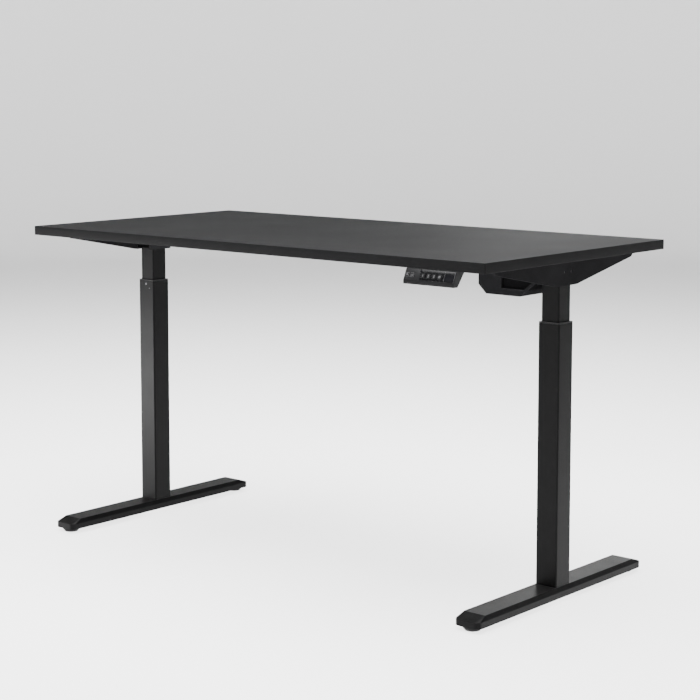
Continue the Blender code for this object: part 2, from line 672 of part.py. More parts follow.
def motor_rotor(lift):
    body = frame("motor_rotor_axis", (GEAR_X, 0, MOTOR_Z), lift)
    half_tooth = math.pi / PINION_TEETH
    teeth = toothed(PINION_TEETH, PINION_RADIUS, half_tooth + math.pi / 2)
    shaft, core = around(teeth, ROTOR_SHAFT), around(teeth, ROTOR_RADIUS)
    rear = MOTOR_LEFT + MOTOR_WALL + ROTOR_REAR
    front = rear + ROTOR_LENGTH
    start, end = GEAR_X - GEAR_FACE / 2, GEAR_X + GEAR_FACE / 2
    steps = ((shaft, rear - ROTOR_TAIL), (shaft, rear), (core, rear), (core, front), (shaft, front),
             (shaft, start), (teeth, start), (teeth, end), (shaft, end), (shaft, end + ROTOR_NOSE))
    add("motor_rotor", skin([ring(points, "X", at, (0, MOTOR_Z)) for points, at in steps]),
        body, "bright_steel")


def motor_can(body):
    inside = MOTOR_RADIUS - MOTOR_WALL
    end = MOTOR_LEFT + MOTOR_LENGTH
    profile = ((MOTOR_RADIUS, MOTOR_LEFT), (MOTOR_RADIUS, end), (inside, end),
               (inside, MOTOR_LEFT + MOTOR_WALL))
    add("motor_can", turned(profile, "X", (0, MOTOR_Z)), body, "black_powder_coat")


def motor_gearcase(body):
    clear = TOOTH_TIP * GEAR_MODULE + RUNNING
    half = DRIVE_GEAR_RADIUS + clear
    low, high = MOTOR_Z - PINION_RADIUS - clear, SHAFT_Z + half
    wall = GEARCASE_WALL
    piece = add("motor_gearcase",
                box((GEARCASE_LEFT, -half - wall, low - wall), (GEARCASE_RIGHT, half + wall, high + wall)),
                body, "cast_aluminium")
    past = (GEARCASE_LEFT - wall, GEARCASE_RIGHT + wall)
    cut(piece, box((GEAR_X - GEAR_FACE, -half, low), (GEAR_X + GEAR_FACE, half, high)),
        rod(SHAFT_RADIUS + 2 * RUNNING, "X", *past, (0, SHAFT_Z)),
        rod(ROTOR_SHAFT + RUNNING, "X", past[0], GEAR_X, (0, MOTOR_Z)))


def cover_outline(inset, top):
    """The motor cover seen from the front: a chamfer at its left, a longer slope at its right."""
    chamfer_x, chamfer_z = COVER_CHAMFER
    slant_x, slant_z = COVER_SLANT
    left, right, low = COVER_LEFT + inset, COVER_RIGHT - inset, COVER_BOTTOM + inset
    cut_left = inset * (1 - math.tan(math.atan2(chamfer_z, chamfer_x) / 2))
    cut_right = inset * (1 - math.tan(math.atan2(slant_z, slant_x) / 2))
    return [(left, top), (left, COVER_BOTTOM + chamfer_z + cut_left),
            (COVER_LEFT + chamfer_x + cut_left, low), (COVER_RIGHT - slant_x - cut_right, low),
            (right, COVER_BOTTOM + slant_z + cut_right), (right, top)]


def motor_cover(body, lead_x):
    top = UNDERSIDE - COVER_TOP_GAP
    from_left, above, deep = COVER_RECESS
    hollow = tool(prism(cover_outline(COVER_SHELL, top + COVER_SHELL), "Y",
                        -COVER_HALF + COVER_SHELL, COVER_HALF - COVER_SHELL))
    slant_x, slant_z = COVER_SLANT
    slope = slant_x / slant_z

    def recess(grow, past):
        left, low = COVER_LEFT + from_left - grow, COVER_BOTTOM + above - grow
        knee = COVER_BOTTOM + slant_z
        right = COVER_RIGHT - 2 * above / 3 + grow
        outline = [(left, top + past), (left, low), (right - slope * (knee - low), low), (right, knee),
                   (right, top + past)]
        return prism(outline, "Y", -COVER_HALF - past, -COVER_HALF + deep + grow)

    cut(hollow, recess(COVER_SHELL, 2 * COVER_SHELL))
    piece = add("motor_cover", prism(cover_outline(0.0, top), "Y", -COVER_HALF, COVER_HALF), body,
                "black_powder_coat")
    notch = MOTOR_LEAD + HOLE_ROUND
    cut(piece, hollow, recess(0.0, COVER_SHELL),
        rod(SHAFT_RADIUS + 2 * RUNNING, "X", COVER_LEFT - COVER_SHELL, COVER_RIGHT + COVER_SHELL,
            (0, SHAFT_Z)),
        box((lead_x - notch, 0, top - 2 * notch), (lead_x + notch, 2 * COVER_HALF, top + notch)))


# ---------------------------------------------------------------- control box

def control_box(body, handset_x, motor_y, lead_z):
    x0, x1 = BOX_X
    y0, y1 = BOX_Y
    low, rim = UNDERSIDE - BOX_SIZE[2], UNDERSIDE - GAP - BOX_LID - GAP
    wall = BOX_SHELL
    case = add("control_box_case", box((x0, y0, low), (x1, y1, rim)), body, "black_plastic")
    cut(case, box((x0 + wall, y0 + wall, low + wall), (x1 - wall, y1 - wall, rim + wall)))
    lid_z = rim + GAP
    add("control_box_lid", box((x0 - BOX_EAR, y0, lid_z), (x1 + BOX_EAR, y1, lid_z + BOX_LID)), body,
        "black_plastic")

    board_z = low + 2 * wall
    board = add("control_board", box((x0 + 2 * wall, y0 + 2 * wall, board_z),
                                     (x1 - 2 * wall - INLET[1], y1 - 2 * wall, board_z + BOARD)),
                body, "circuit_board")
    middle = (y0 + y1) / 2
    for place, length, width, height in BOARD_BLOCKS:
        x = x0 + place
        join(board, box((x - length / 2, middle - width / 2, board_z + BOARD / 2),
                        (x + length / 2, middle + width / 2, board_z + height)))

    width, depth, height = INLET
    inlet_y, inlet_z = y1 - INLET_FROM_REAR, (low + rim) / 2
    face = x1 + GAP + wall / 2
    inlet = add("mains_inlet", box((face - depth, inlet_y - width / 2, inlet_z - height / 2),
                                   (face, inlet_y + width / 2, inlet_z + height / 2)), body, "black_plastic")
    well = (width / 2 - INLET_RIM, height / 2 - INLET_RIM)
    cut(inlet, box((face - INLET_WELL, inlet_y - well[0], inlet_z - well[1]),
                   (face + wall, inlet_y + well[0], inlet_z + well[1])))
    thick, broad, pitch, short = INLET_PIN
    for step in (-1, 0, 1):
        y = inlet_y + step * pitch
        join(inlet, box((face - depth + INLET_RIM / 2, y - thick / 2, inlet_z - broad / 2),
                        (face - short, y + thick / 2, inlet_z + broad / 2)))
    cut(case, box((x1 - 2 * wall, inlet_y - width / 2 - GAP, inlet_z - height / 2 - GAP),
                  (x1 + wall, inlet_y + width / 2 + GAP, inlet_z + height / 2 + GAP)),
        rod(HANDSET_LEAD + HOLE_ROUND, "Y", y0 - wall, y0 + 2 * wall, (handset_x, lead_z)),
        rod(MOTOR_LEAD + HOLE_ROUND, "X", x1 - 2 * wall, x1 + wall, (motor_y, lead_z)))


# ---------------------------------------------------------------- handset

def on_face(along, up, out):
    """A place on the handset: along from its left end, up its face, and out from it."""
    return Vector((PAD_LEFT + along, 0, 0)) + FACE_FOOT + FACE_UP * up + FACE_OUT * out


def face_block(along, up, width, height, deep, proud, radius=PAD_CORNER):
    """A rounded block square to the face, from deep behind it to proud of it."""
    outline = rounded_rectangle(width, height, radius, 2)
    return skin([[on_face(along + u, up + v, out) for u, v in outline] for out in (-deep, proud)])


def pad_outline(inset=0.0):
    """The handset's side view, (Y, Z): face, lip, sole and the sloping back."""
    front, low = FACE_FOOT.y, FACE_FOOT.z - PAD_LIP
    top = FLANGE_TOP
    back_slope = (PAD_TOP - PAD_SOLE + PAD_LEAN[0]) / (top - low)
    outline = [(-DESK_DEPTH / 2 + inset, top), (front + inset, FACE_FOOT.z), (front + inset, low + inset),
               (front + PAD_SOLE + inset * back_slope, low + inset), (-DESK_DEPTH / 2 + PAD_TOP, top)]
    return outline


def handset(body, lead_x):
    """Front case, back plate, board and display window. Returns where the lead leaves the back."""
    front, low, top = FACE_FOOT.y, FACE_FOOT.z - PAD_LIP, FLANGE_TOP
    heel = Vector((0, front + PAD_SOLE, low))
    crown = Vector((0, -DESK_DEPTH / 2 + PAD_TOP, top))
    back_up = (crown - heel).normalized()
    back_out = Vector((0, back_up.z, -back_up.y))
    length = (crown - heel).length

    def on_back(up, out):
        place = heel + back_up * up + back_out * out
        return place.y, place.z

    case = add("keypad_case", prism(pad_outline(), "X", PAD_LEFT, PAD_RIGHT), body, "black_plastic")
    shell = PAD_SHELL
    face_in = [tuple((FACE_FOOT + FACE_UP * up - FACE_OUT * shell).yz)
               for up in (0.0, FACE_LENGTH - FACE_HEAD)]
    ridge = length - BACK_RIDGE
    inner = [face_in[1], face_in[0], (front + shell, low + shell), on_back(BACK_SEAT, shell),
             on_back(ridge, shell), on_back(ridge, -shell)]
    cut(case, prism(inner, "X", PAD_LEFT + shell, PAD_RIGHT - shell))

    seat, crest = BACK_SEAT + GAP, ridge - GAP
    plate = [on_back(seat, 0), on_back(crest, 0), on_back(crest, -PAD_BACK), on_back(seat, -PAD_BACK)]
    cover = add("keypad_back", prism(plate, "X", PAD_LEFT + shell + GAP, PAD_RIGHT - shell - GAP), body,
                "black_plastic")
    exit_y, exit_z = on_back(length - PAD_EXIT, 0)
    cut(cover, rod(HANDSET_LEAD + HOLE_ROUND, "Y", exit_y - PAD_TOP / 2, exit_y + PAD_TOP / 2,
                   (lead_x, exit_z)))

    deep = BUTTON_LENGTH + BUTTON_TRAVEL - BUTTON_PROUD + RUNNING
    clear = shell + PAD_EDGE
    middle = PAD_WIDTH / 2
    add("keypad_board", face_block(middle, BUTTON_ROW, PAD_WIDTH - 2 * clear, BOARD_WIDTH,
                                   deep + BOARD, -deep), body, "circuit_board")

    along, width, height, thick = DISPLAY
    cut(case, face_block(along, BUTTON_ROW, width + 2 * GAP, height + 2 * GAP, 2 * shell, shell))
    add("keypad_display", face_block(along, BUTTON_ROW, width, height, thick, -GAP), body, "display_window")
    for name, along, width in BUTTONS:
        cut(case, face_block(along, BUTTON_ROW, width + 2 * GAP, BUTTON_HEIGHT + 2 * GAP, 2 * shell, shell))
        key = frame(name + "_axis", on_face(along, BUTTON_ROW, 0), body)
        add(name, face_block(along, BUTTON_ROW, width, BUTTON_HEIGHT, BUTTON_LENGTH - BUTTON_PROUD,
                             BUTTON_PROUD), key, "button_plastic")
    return Vector((lead_x, exit_y, exit_z))


# ---------------------------------------------------------------- leads

def smooth_route(points, spacing):
    """Evenly spaced points on a smooth curve through the route's own."""
    points = [Vector(p) for p in points]
    ends = [2 * points[0] - points[1], *points, 2 * points[-1] - points[-2]]
    fine = []
    for i in range(1, len(ends) - 2):
        a, b, c, d = ends[i - 1:i + 3]
        for step in range(20):
            t = step / 20
            fine.append(0.5 * (2 * b + (c - a) * t + (2 * a - 5 * b + 4 * c - d) * t * t
                               + (3 * b - a - 3 * c + d) * t * t * t))
    fine.append(points[-1])
    lengths = [0.0]
    for a, b in zip(fine, fine[1:]):
        lengths.append(lengths[-1] + (b - a).length)
    count = max(2, round(lengths[-1] / spacing))
    even, at = [], 0
    for i in range(count + 1):
        want = lengths[-1] * i / count
        while at < len(lengths) - 2 and lengths[at + 1] < want:
            at += 1
        share = (want - lengths[at]) / max(lengths[at + 1] - lengths[at], 1e-9)
        even.append(fine[at].lerp(fine[at + 1], min(share, 1.0)))
    return even


def lead(name, body, route, radius):
    origin = body.matrix_world.translation
    points = smooth_route(route, POINT_SPACING * 2 * radius)
    curve = bpy.data.curves.new(name, "CURVE")
    curve.dimensions = "3D"
    curve.bevel_depth = radius
    curve.bevel_resolution = 2
    curve.use_fill_caps = True
    spline = curve.splines.new("POLY")
    spline.points.add(len(points) - 1)
    for place, point in zip(spline.points, points):
        place.co = (*(point - origin), 1.0)
    curve.materials.append(finish(name, *FINISHES["lead_jacket"]))
    thing = bpy.data.objects.new(name, curve)
    bpy.context.scene.collection.objects.link(thing)
    thing.parent = body


def leads(body, exit_at, handset_x, motor_x, motor_y, lead_z):
    """Both leads lie on the underside of the worktop, over the crossbars."""
    pad_x, start_y, start_z = exit_at
    high = UNDERSIDE - 2 * GAP - HANDSET_LEAD
    lead("handset_lead", body, (
        (pad_x, start_y - 0.004, start_z), (pad_x, start_y + 0.004, start_z),
        (pad_x - 0.001, start_y + 0.013, (start_z + high) / 2 + 0.001),
        (pad_x - 0.007, start_y + 0.026, high), (pad_x - 0.040, start_y + 0.070, high),
        (pad_x - 0.110, start_y + 0.120, high), (pad_x - 0.165, start_y + 0.180, high),
        (handset_x + 0.020, -0.100, high), (handset_x + 0.004, -0.030, high), (handset_x, 0.040, high),
        (handset_x, RAIL_Y + RAIL_WIDTH / 2, high),
        (handset_x, BOX_Y[0] - 0.010, (high + lead_z) / 2 + 0.001), (handset_x, BOX_Y[0] - 0.002, lead_z),
        (handset_x, BOX_Y[0] + BOX_SHELL, lead_z),
    ), HANDSET_LEAD)
    high = UNDERSIDE - 2 * GAP - MOTOR_LEAD
    turn = math.sqrt(0.5)
    out = MOTOR_RADIUS + GAP
    lead("motor_lead", body, (
        (motor_x, out * turn, MOTOR_Z + out * turn),
        (motor_x, out * turn + 0.006, MOTOR_Z + out * turn + 0.007),
        (motor_x, COVER_HALF - 0.015, SHAFT_Z + 0.006), (motor_x, COVER_HALF - 0.0085, SHAFT_Z + 0.018),
        (motor_x, COVER_HALF - 0.001, high - 0.0015), (motor_x, COVER_HALF + 0.009, high),
        (motor_x, RAIL_Y + RAIL_WIDTH / 2, high), (motor_x - 0.003, RAIL_Y + 0.032, high),
        (motor_x - 0.018, motor_y - 0.006, high - 0.004), (BOX_X[1] + 0.014, motor_y, lead_z + 0.0005),
        (BOX_X[1] + 0.004, motor_y, lead_z), (BOX_X[1] - BOX_SHELL, motor_y, lead_z),
    ), MOTOR_LEAD)


# ---------------------------------------------------------------- whole desk

def main():
    clear_scene()
    base = frame("base_frame")
    lift = frame("lift_frame", parent=base)
    for name, side in SIDES:
        x = side * COLUMN_X
        foot(base, f"foot_{name}", x)
        base_plate(base, f"base_plate_{name}", x)
        outer_tube(base, f"outer_tube_{name}", x)
        guide_collar(base, f"guide_collar_{name}", x)
        nut_tube(base, f"nut_tube_{name}", x)
        spindle_nut(base, f"spindle_nut_{name}", x)
        for end, y in (("front", -GLIDE_Y), ("rear", GLIDE_Y)):
            levelling_glide(base, f"levelling_glide_{end}_{name}", x, y)

    worktop(lift)
    stubs = crossbars(lift)
    for name, side in SIDES:
        x = side * COLUMN_X
        side_bracket(lift, f"side_bracket_{name}", side)
        leg_head(lift, f"leg_head_{name}", side, [size - 2 * GAP for size in stubs[side]])
        gearbox(lift, f"gearbox_{name}", x)
        inner_tube(lift, f"inner_tube_{name}", x)
        inner_slider(lift, f"inner_slider_{name}", x)
        spindle(lift, name, x)
    drive_shaft(lift)
    motor_rotor(lift)
    motor_can(lift)
    motor_gearcase(lift)

    motor_x = MOTOR_LEFT + MOTOR_LEAD_EXIT
    motor_cover(lift, motor_x)
    handset_x, motor_y = BOX_X[0] + BOX_LEADS[0], BOX_Y[0] + BOX_LEADS[1]
    lead_z = UNDERSIDE - LEAD_ENTRY
    control_box(lift, handset_x, motor_y, lead_z)
    exit_at = handset(lift, PAD_LEFT + PAD_LEAD)
    leads(lift, exit_at, handset_x, motor_x, motor_y, lead_z)


main()
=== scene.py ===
import math

import bmesh
import bpy
from mathutils import Matrix, Vector


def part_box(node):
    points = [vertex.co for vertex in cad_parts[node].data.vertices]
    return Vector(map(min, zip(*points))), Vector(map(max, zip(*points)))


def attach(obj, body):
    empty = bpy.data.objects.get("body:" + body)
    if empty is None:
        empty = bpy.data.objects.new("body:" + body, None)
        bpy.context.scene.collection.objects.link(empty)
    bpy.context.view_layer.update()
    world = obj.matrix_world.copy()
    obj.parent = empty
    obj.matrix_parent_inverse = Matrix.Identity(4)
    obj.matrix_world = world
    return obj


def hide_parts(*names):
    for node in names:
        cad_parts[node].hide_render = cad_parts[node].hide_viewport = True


bl_info = {
    "name": "Height adjustable desk",
    "version": (1, 0, 0),
    "blender": (4, 5, 0),
    "location": "View3D > Sidebar > Desk",
    "description": "Edges, fastenings, key marks and finishes for a height adjustable desk",
    "category": "Object",
}

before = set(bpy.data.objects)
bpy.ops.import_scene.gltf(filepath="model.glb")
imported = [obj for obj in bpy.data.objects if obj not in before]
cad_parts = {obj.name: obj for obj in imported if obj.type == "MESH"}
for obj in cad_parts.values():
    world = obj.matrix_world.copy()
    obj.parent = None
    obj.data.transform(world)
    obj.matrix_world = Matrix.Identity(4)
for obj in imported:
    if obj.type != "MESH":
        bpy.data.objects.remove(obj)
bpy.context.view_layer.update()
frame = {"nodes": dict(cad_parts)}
NODES = frame["nodes"]
SIDES = (("left", -1), ("right", 1))
ENDS = ("front", "rear")
DOWN = (0, 0, -1)

# Steel and fastenings, in metres. A row of screws is given by its places along the desk's
# depth. A drop runs down from the piece's top, and an inset runs in from its side or end.
SHEET = 0.002                   # thickness of the side brackets
HEAD_PLATE = 0.0025             # thickness of the leg heads
COLUMN_SCREWS = (               # across the face, below the top, head radius
    (0.0, 0.0082, 0.0028),
    (-0.0125, 0.0192, 0.0020),
)
FOOT_BOLTS = (0.015, 0.042)     # across and along, each way from the base plate's middle
FOOT_SLOPE_ANGLE = 14.0         # degrees, low enough to round the folds at the end slopes
BRACKET_BOLTS = (-0.0086, 0.0174)
BRACKET_BOLT_DROP = 0.0263
FLANGE_SCREWS = (-0.245, -0.150, 0.150, 0.245)
FLANGE_SCREW_INSET = 0.021
HEAD_SCREWS = (-0.085, -0.055, 0.055, 0.085)
HEAD_SCREW_INSET = 0.0276
CROSSBAR_ROOT_BOLTS = (0.018, 0.045)    # insets at the leg end of each half
CROSSBAR_SLEEVE_BOLTS = (0.018, 0.048)  # insets at the outer half's free end
WORKTOP_SCREW_HEIGHT = 0.0020

# Motor cover: its screws, and where its recessed panels start; the panels get painted shade
COVER_SCREW = (0.0030, 0.0014)  # head radius and height
COVER_FACE_SCREW = (0.052, 0.038)       # inset from the left, and drop
COVER_BASE_SCREWS = (0.034, 0.052)      # insets from the left and the right
COVER_BASE_SCREW_SPREAD = 0.030
COVER_PANEL_DEPTH = 0.0060
COVER_PANEL_START = 0.0625
COVER_PANEL_FLOOR = 0.0140

# Control box
RIB_COUNT = 11
RIB_PITCH = 0.0085
LID_SCREW_INSET = 0.016
CASE_SCREW_INSET = 0.008

# Keypad. Its face leans back from a lip along the case's front.
KEY_FACE_LEAN = (0.011, 0.0247) # how far the face runs back and up
KEY_LIP = 0.0073                # from the case's lowest edge up to the face
KEY_PROUD = 0.0008              # how far the keys stand out of the face
KEY_ROW = 0.0125                # up the face to the middle of the keys
KEY_HEIGHT = 0.0095
KEY_CLEARANCE = 0.0008
PLATE_MARGIN = 0.0016
PLATE_BOTTOM = 0.0022
PLATE_TOP = 0.0262
PLATE_DIVIDER = 0.0405          # along the face, between the move plate and the preset film
PLATE_GAP = 0.0008
WINDOW_HEIGHT = 0.0144
TRIM_MIDDLE = 0.0142            # up the face to the middle of the trim lines
TRIM_REACH = 0.0115
KEYS = (                        # node, place along the face, width, mark
    ("button_up", 0.0075, 0.0105, "up"),
    ("button_down", 0.0205, 0.0105, "down"),
    ("button_memory_1", 0.0480, 0.0095, "one"),
    ("button_memory_2", 0.0625, 0.0095, "two"),
    ("button_memory_3", 0.0770, 0.0095, "three"),
    ("button_store", 0.0915, 0.0095, "store"),
)
MARKS = {                       # strokes, in shares of the mark's height
    "up": (((-0.5, -0.3), (0.0, 0.4), (0.5, -0.3)),),
    "down": (((-0.5, 0.3), (0.0, -0.4), (0.5, 0.3)),),
    "one": (((-0.2, 0.3), (0.05, 0.5), (0.05, -0.5)),),
    "two": (((-0.3, 0.3), (-0.1, 0.5), (0.2, 0.5), (0.3, 0.25), (-0.3, -0.5), (0.32, -0.5)),),
    "three": (((-0.3, 0.5), (0.3, 0.5), (-0.05, 0.1), (0.3, -0.15), (0.15, -0.5), (-0.3, -0.45)),),
    "store": (
        ((-0.4, 0.4), (0.4, 0.4), (0.4, -0.4), (-0.4, -0.4), (-0.4, 0.4)),
        ((-0.12, 0.0), (0.12, 0.0)),
    ),
}

# Studio panels: name, place, what it faces, size, power in watts
PANELS = (
    ("overhead", (0.0, -0.4, 4.4), (0.0, -0.4, 0.0), (5.0, 5.0), 600.0),
    ("front_left", (-1.78, -1.08, 0.09), (-0.64, 0.0, 0.30), (0.7, 0.22), 33.0),
    ("back_panel", (-1.6, 4.2, 1.4), (0.3, 0.0, 0.6), (2.0, 1.1), 29.0),
)

# Leads: clips along the handset lead, from its front end and from the desk's middle line
CLIPS_FROM_FRONT = (0.085, 0.150, 0.215)
CLIPS_AT_MIDDLE = (-0.030, 0.030)
CLIP_SPAN = 0.012


# ---------------------------------------------------------------- shader arithmetic

class Wire:
    """One output socket. Arithmetic on it adds the Math nodes."""

    def __init__(self, finish, socket):
        self.finish = finish
        self.socket = socket

    def __add__(self, other):
        return self.finish.math("ADD", self, other)

    def __sub__(self, other):
        return self.finish.math("SUBTRACT", self, other)

    def __rsub__(self, other):
        return self.finish.math("SUBTRACT", other, self)

    def __mul__(self, other):
        return self.finish.math("MULTIPLY", self, other)

    def __gt__(self, other):
        return self.finish.math("GREATER_THAN", self, other)

    __radd__ = __add__
    __rmul__ = __mul__

    def ramp(self, low, high):
        """Nought below low, one above high, and smooth between."""
        return self.finish.node(
            "ShaderNodeMapRange",
            {"interpolation_type": "SMOOTHSTEP"},
            {"Value": self, "From Min": low, "From Max": high},
        )


class Finish:
    """A material, with its texture place in metres and one method for any node."""

    def __init__(self, name, roughness, metallic=0.0, specular=0.5):
        self.material = bpy.data.materials.new(name)
        self.material.use_nodes = True
        self.tree = self.material.node_tree
        self.shader = self.tree.nodes["Principled BSDF"]
        self.shader.inputs["Roughness"].default_value = roughness
        self.shader.inputs["Metallic"].default_value = metallic
        self.shader.inputs["Specular IOR Level"].default_value = specular
        self.place = self.node("ShaderNodeTexCoord", output="Object")

    def node(self, kind, settings=None, inputs=None, output=0):
        made = self.tree.nodes.new(kind)
        for name, value in (settings or {}).items():
            setattr(made, name, value)
        for name, value in (inputs or {}).items():
            if isinstance(value, Wire):
                self.tree.links.new(value.socket, made.inputs[name])
            else:
                made.inputs[name].default_value = value
        return Wire(self, made.outputs[output])

    def math(self, operation, *values):
        return self.node("ShaderNodeMath", {"operation": operation}, dict(enumerate(values)))

    def part(self, axis, vector=None):
        """One of a vector's three numbers, or of the place's."""
        return self.node("ShaderNodeSeparateXYZ", {}, {0: vector or self.place}, axis)

    def stretched(self, scale):
        """The place, stretched by a scale on each axis."""
        return self.node(
            "ShaderNodeVectorMath", {"operation": "MULTIPLY"}, {0: self.place, 1: scale}
        )

    def noise(self, size, detail=2.0, place=None):
        """Noise with features of about this size, in metres."""
        return self.node(
            "ShaderNodeTexNoise",
            {},
            {"Vector": place or self.place, "Scale": 1.0 / size, "Detail": detail},
        )

    def cells(self, size):
        """The distance to the nearest of many points, about this far apart in metres."""
        return self.node(
            "ShaderNodeTexVoronoi", {}, {"Vector": self.place, "Scale": 1.0 / size}, "Distance"
        )

    def colours(self, share, first, second):
        """The first colour, giving way to the second as the share rises."""
        return self.node(
            "ShaderNodeMix",
            {"data_type": "RGBA"},
            {0: share, 6: first if isinstance(first, Wire) else (*first, 1.0), 7: (*second, 1.0)},
            2,
        )

    def facing_up(self):
        """One on level surfaces, nought on upright and lower ones."""
        normal = self.node("ShaderNodeNewGeometry", output="Normal")
        return self.part("Z", normal).ramp(0.7, 0.98)

    def surface(self, colour, roughness):
        """Gives the shader its varying colour and roughness."""
        self.tree.links.new(colour.socket, self.shader.inputs["Base Color"])
        self.tree.links.new(roughness.socket, self.shader.inputs["Roughness"])

    def relief(self, height, depth, strength=1.0):
        """Raises the surface by up to depth, in metres."""
        bump = self.node(
            "ShaderNodeBump",
            {},
            {"Height": height, "Distance": depth, "Strength": strength},
            "Normal",
        )
        self.tree.links.new(bump.socket, self.shader.inputs["Normal"])


BOARD_GREEN = (0.020, 0.110, 0.050)


def shade(colour, factor):
    """The colour, lighter or darker by a factor."""
    return tuple(min(1.0, part * factor) for part in colour)


# ---------------------------------------------------------------- finishes

def laminate(name, colour, roughness):
    """Matt laminate: fine pebble, faint clouding and slightly varying gloss."""
    finish = Finish(name, roughness, specular=0.05)
    pebble = finish.cells(0.0011)
    fine = finish.noise(0.0006, 3.0)
    cloud = finish.noise(0.11, 3.0)
    patch = finish.noise(0.35)
    tone = finish.colours(cloud.ramp(0.3, 0.7), shade(colour, 0.93), shade(colour, 1.07))
    tone = finish.colours((fine > 0.62) * 0.35, tone, shade(colour, 1.5))
    finish.surface(tone, roughness + 0.10 * (patch - 0.5) + 0.06 * (fine - 0.5))
    finish.relief(pebble * 0.7 + fine * 0.5, 0.00012, 0.6)
    return finish.material


def powder_coat(name, colour, roughness, dust=0.5, specular=0.06):
    """Powder paint: orange peel with a fine sand in it, and a trace of dust on level faces."""
    finish = Finish(name, roughness, specular=specular)
    peel = finish.noise(0.0032, 1.0)
    sand = finish.noise(0.0007, 4.0)
    cloud = finish.noise(0.09, 2.0)
    settled = finish.facing_up() * finish.noise(0.05, 4.0).ramp(0.35, 0.8) * dust
    tone = finish.colours(cloud.ramp(0.25, 0.75), shade(colour, 0.88), shade(colour, 1.12))
    tone = finish.colours((sand > 0.62) * 0.40, tone, shade(colour, 3.0))
    tone = finish.colours(settled * 0.25, tone, (0.030, 0.029, 0.028))
    finish.surface(tone, roughness + 0.09 * (cloud - 0.5) + 0.10 * (sand - 0.5) + 0.10 * settled)
    finish.relief(peel * 0.75 + sand * 0.45, 0.00028, 0.6)
    return finish.material


def moulded(name, colour, roughness, grain=0.0009, specular=0.16):
    """Moulded plastic with a spark-eroded grain."""
    finish = Finish(name, roughness, specular=specular)
    fine = finish.noise(grain, 3.0)
    pits = finish.cells(grain * 1.6)
    flow = finish.noise(0.030)
    tone = finish.colours(flow.ramp(0.3, 0.7), shade(colour, 0.9), shade(colour, 1.12))
    finish.surface(tone, roughness + 0.12 * (fine - 0.5) + 0.05 * (flow - 0.5))
    finish.relief(fine * 0.6 + pits * 0.4, 0.00012, 0.6)
    return finish.material


def gloss(name, colour, roughness):
    """Smooth smoked plastic with faint smears."""
    finish = Finish(name, roughness, specular=0.3)
    smear = finish.noise(0.012, 3.0, finish.stretched((1.0, 1.0, 3.0)))
    tone = finish.colours(smear.ramp(0.4, 0.8), colour, shade(colour, 1.5))
    finish.surface(tone, roughness + 0.10 * smear.ramp(0.45, 0.75))
    finish.relief(finish.noise(0.004), 0.00001, 0.3)
    return finish.material


def turned_steel(name, colour, roughness, grain=(40.0, 40.0, 2600.0)):
    """Machined steel: close tool marks across one axis and a slight tarnish."""
    finish = Finish(name, roughness, metallic=1.0)
    marks = finish.noise(1.0, 2.0, finish.stretched(grain))
    tarnish = finish.noise(0.018, 4.0).ramp(0.45, 0.8)
    tone = finish.colours(marks, shade(colour, 0.82), shade(colour, 1.08))
    tone = finish.colours(tarnish * 0.3, tone, (0.30, 0.28, 0.25))
    finish.surface(tone, roughness + 0.14 * (marks - 0.5) + 0.15 * tarnish)
    finish.relief(marks, 0.00002, 0.4)
    return finish.material


def circuit_board(name, colour, roughness):
    """Green lacquer over copper tracks."""
    finish = Finish(name, roughness)
    black, white = (0, 0, 0, 1), (1, 1, 1, 1)
    track = finish.node(
        "ShaderNodeTexBrick",
        {"offset": 0.37},
        {"Vector": finish.place, "Scale": 60.0, "Mortar Size": 0.03,
         "Color1": black, "Color2": black, "Mortar": white},
        "Fac",
    )
    tone = finish.colours(track, colour, shade(colour, 1.7))
    finish.surface(tone, roughness + 0.1 * finish.noise(0.004, 3.0))
    finish.relief(track, 0.00003, 0.5)
    return finish.material


def jacket(name, colour, roughness):
    """Extruded cable jacket."""
    finish = Finish(name, roughness, specular=0.4)
    drawn = finish.noise(0.0009, 3.0)
    scuff = finish.noise(0.02, 3.0).ramp(0.5, 0.8)
    finish.surface(finish.colours(scuff, colour, shade(colour, 2.0)), roughness + 0.15 * scuff)
    finish.relief(drawn, 0.00004, 0.4)
    return finish.material


def studio_paper(name, colour):
    """Plain pale paper."""
    finish = Finish(name, 0.75, specular=0.0)
    tooth = finish.noise(0.004, 4.0)
    tone = finish.colours(finish.noise(0.8), colour, shade(colour, 0.985))
    finish.surface(tone, 0.72 + 0.06 * tooth)
    finish.relief(tooth, 0.0001, 0.2)
    return finish.material


# ---------------------------------------------------------------- shapes

HEAD_STEPS = 24                 # points round a screw head


def ring(outline, at):
    """An outline lifted to a height."""
    return [Vector((u, v, at)) for u, v in outline]


def turns(steps):
    """Equal angles round a circle."""
    return [i * math.tau / steps for i in range(steps)]


def circle(radius, steps=HEAD_STEPS):
    return [(radius * math.cos(angle), radius * math.sin(angle)) for angle in turns(steps)]


def hexagon(across_flats):
    """A hexagon with a point at each of the circle's angles."""
    points = []
    for angle in turns(HEAD_STEPS):
        turn = (angle + math.pi / 6) % (math.pi / 3) - math.pi / 6
        radius = across_flats / 2 / math.cos(turn)
        points.append((radius * math.cos(angle), radius * math.sin(angle)))
    return points


def rounded(width, depth, radius, steps=6):
    """A rectangle with round corners."""
    points = []
    for quarter, (x, y) in enumerate(((1, 1), (-1, 1), (-1, -1), (1, -1))):
        for i in range(steps + 1):
            angle = (quarter + i / steps) * math.pi / 2
            points.append((x * (width / 2 - radius) + radius * math.cos(angle),
                           y * (depth / 2 - radius) + radius * math.sin(angle)))
    return points


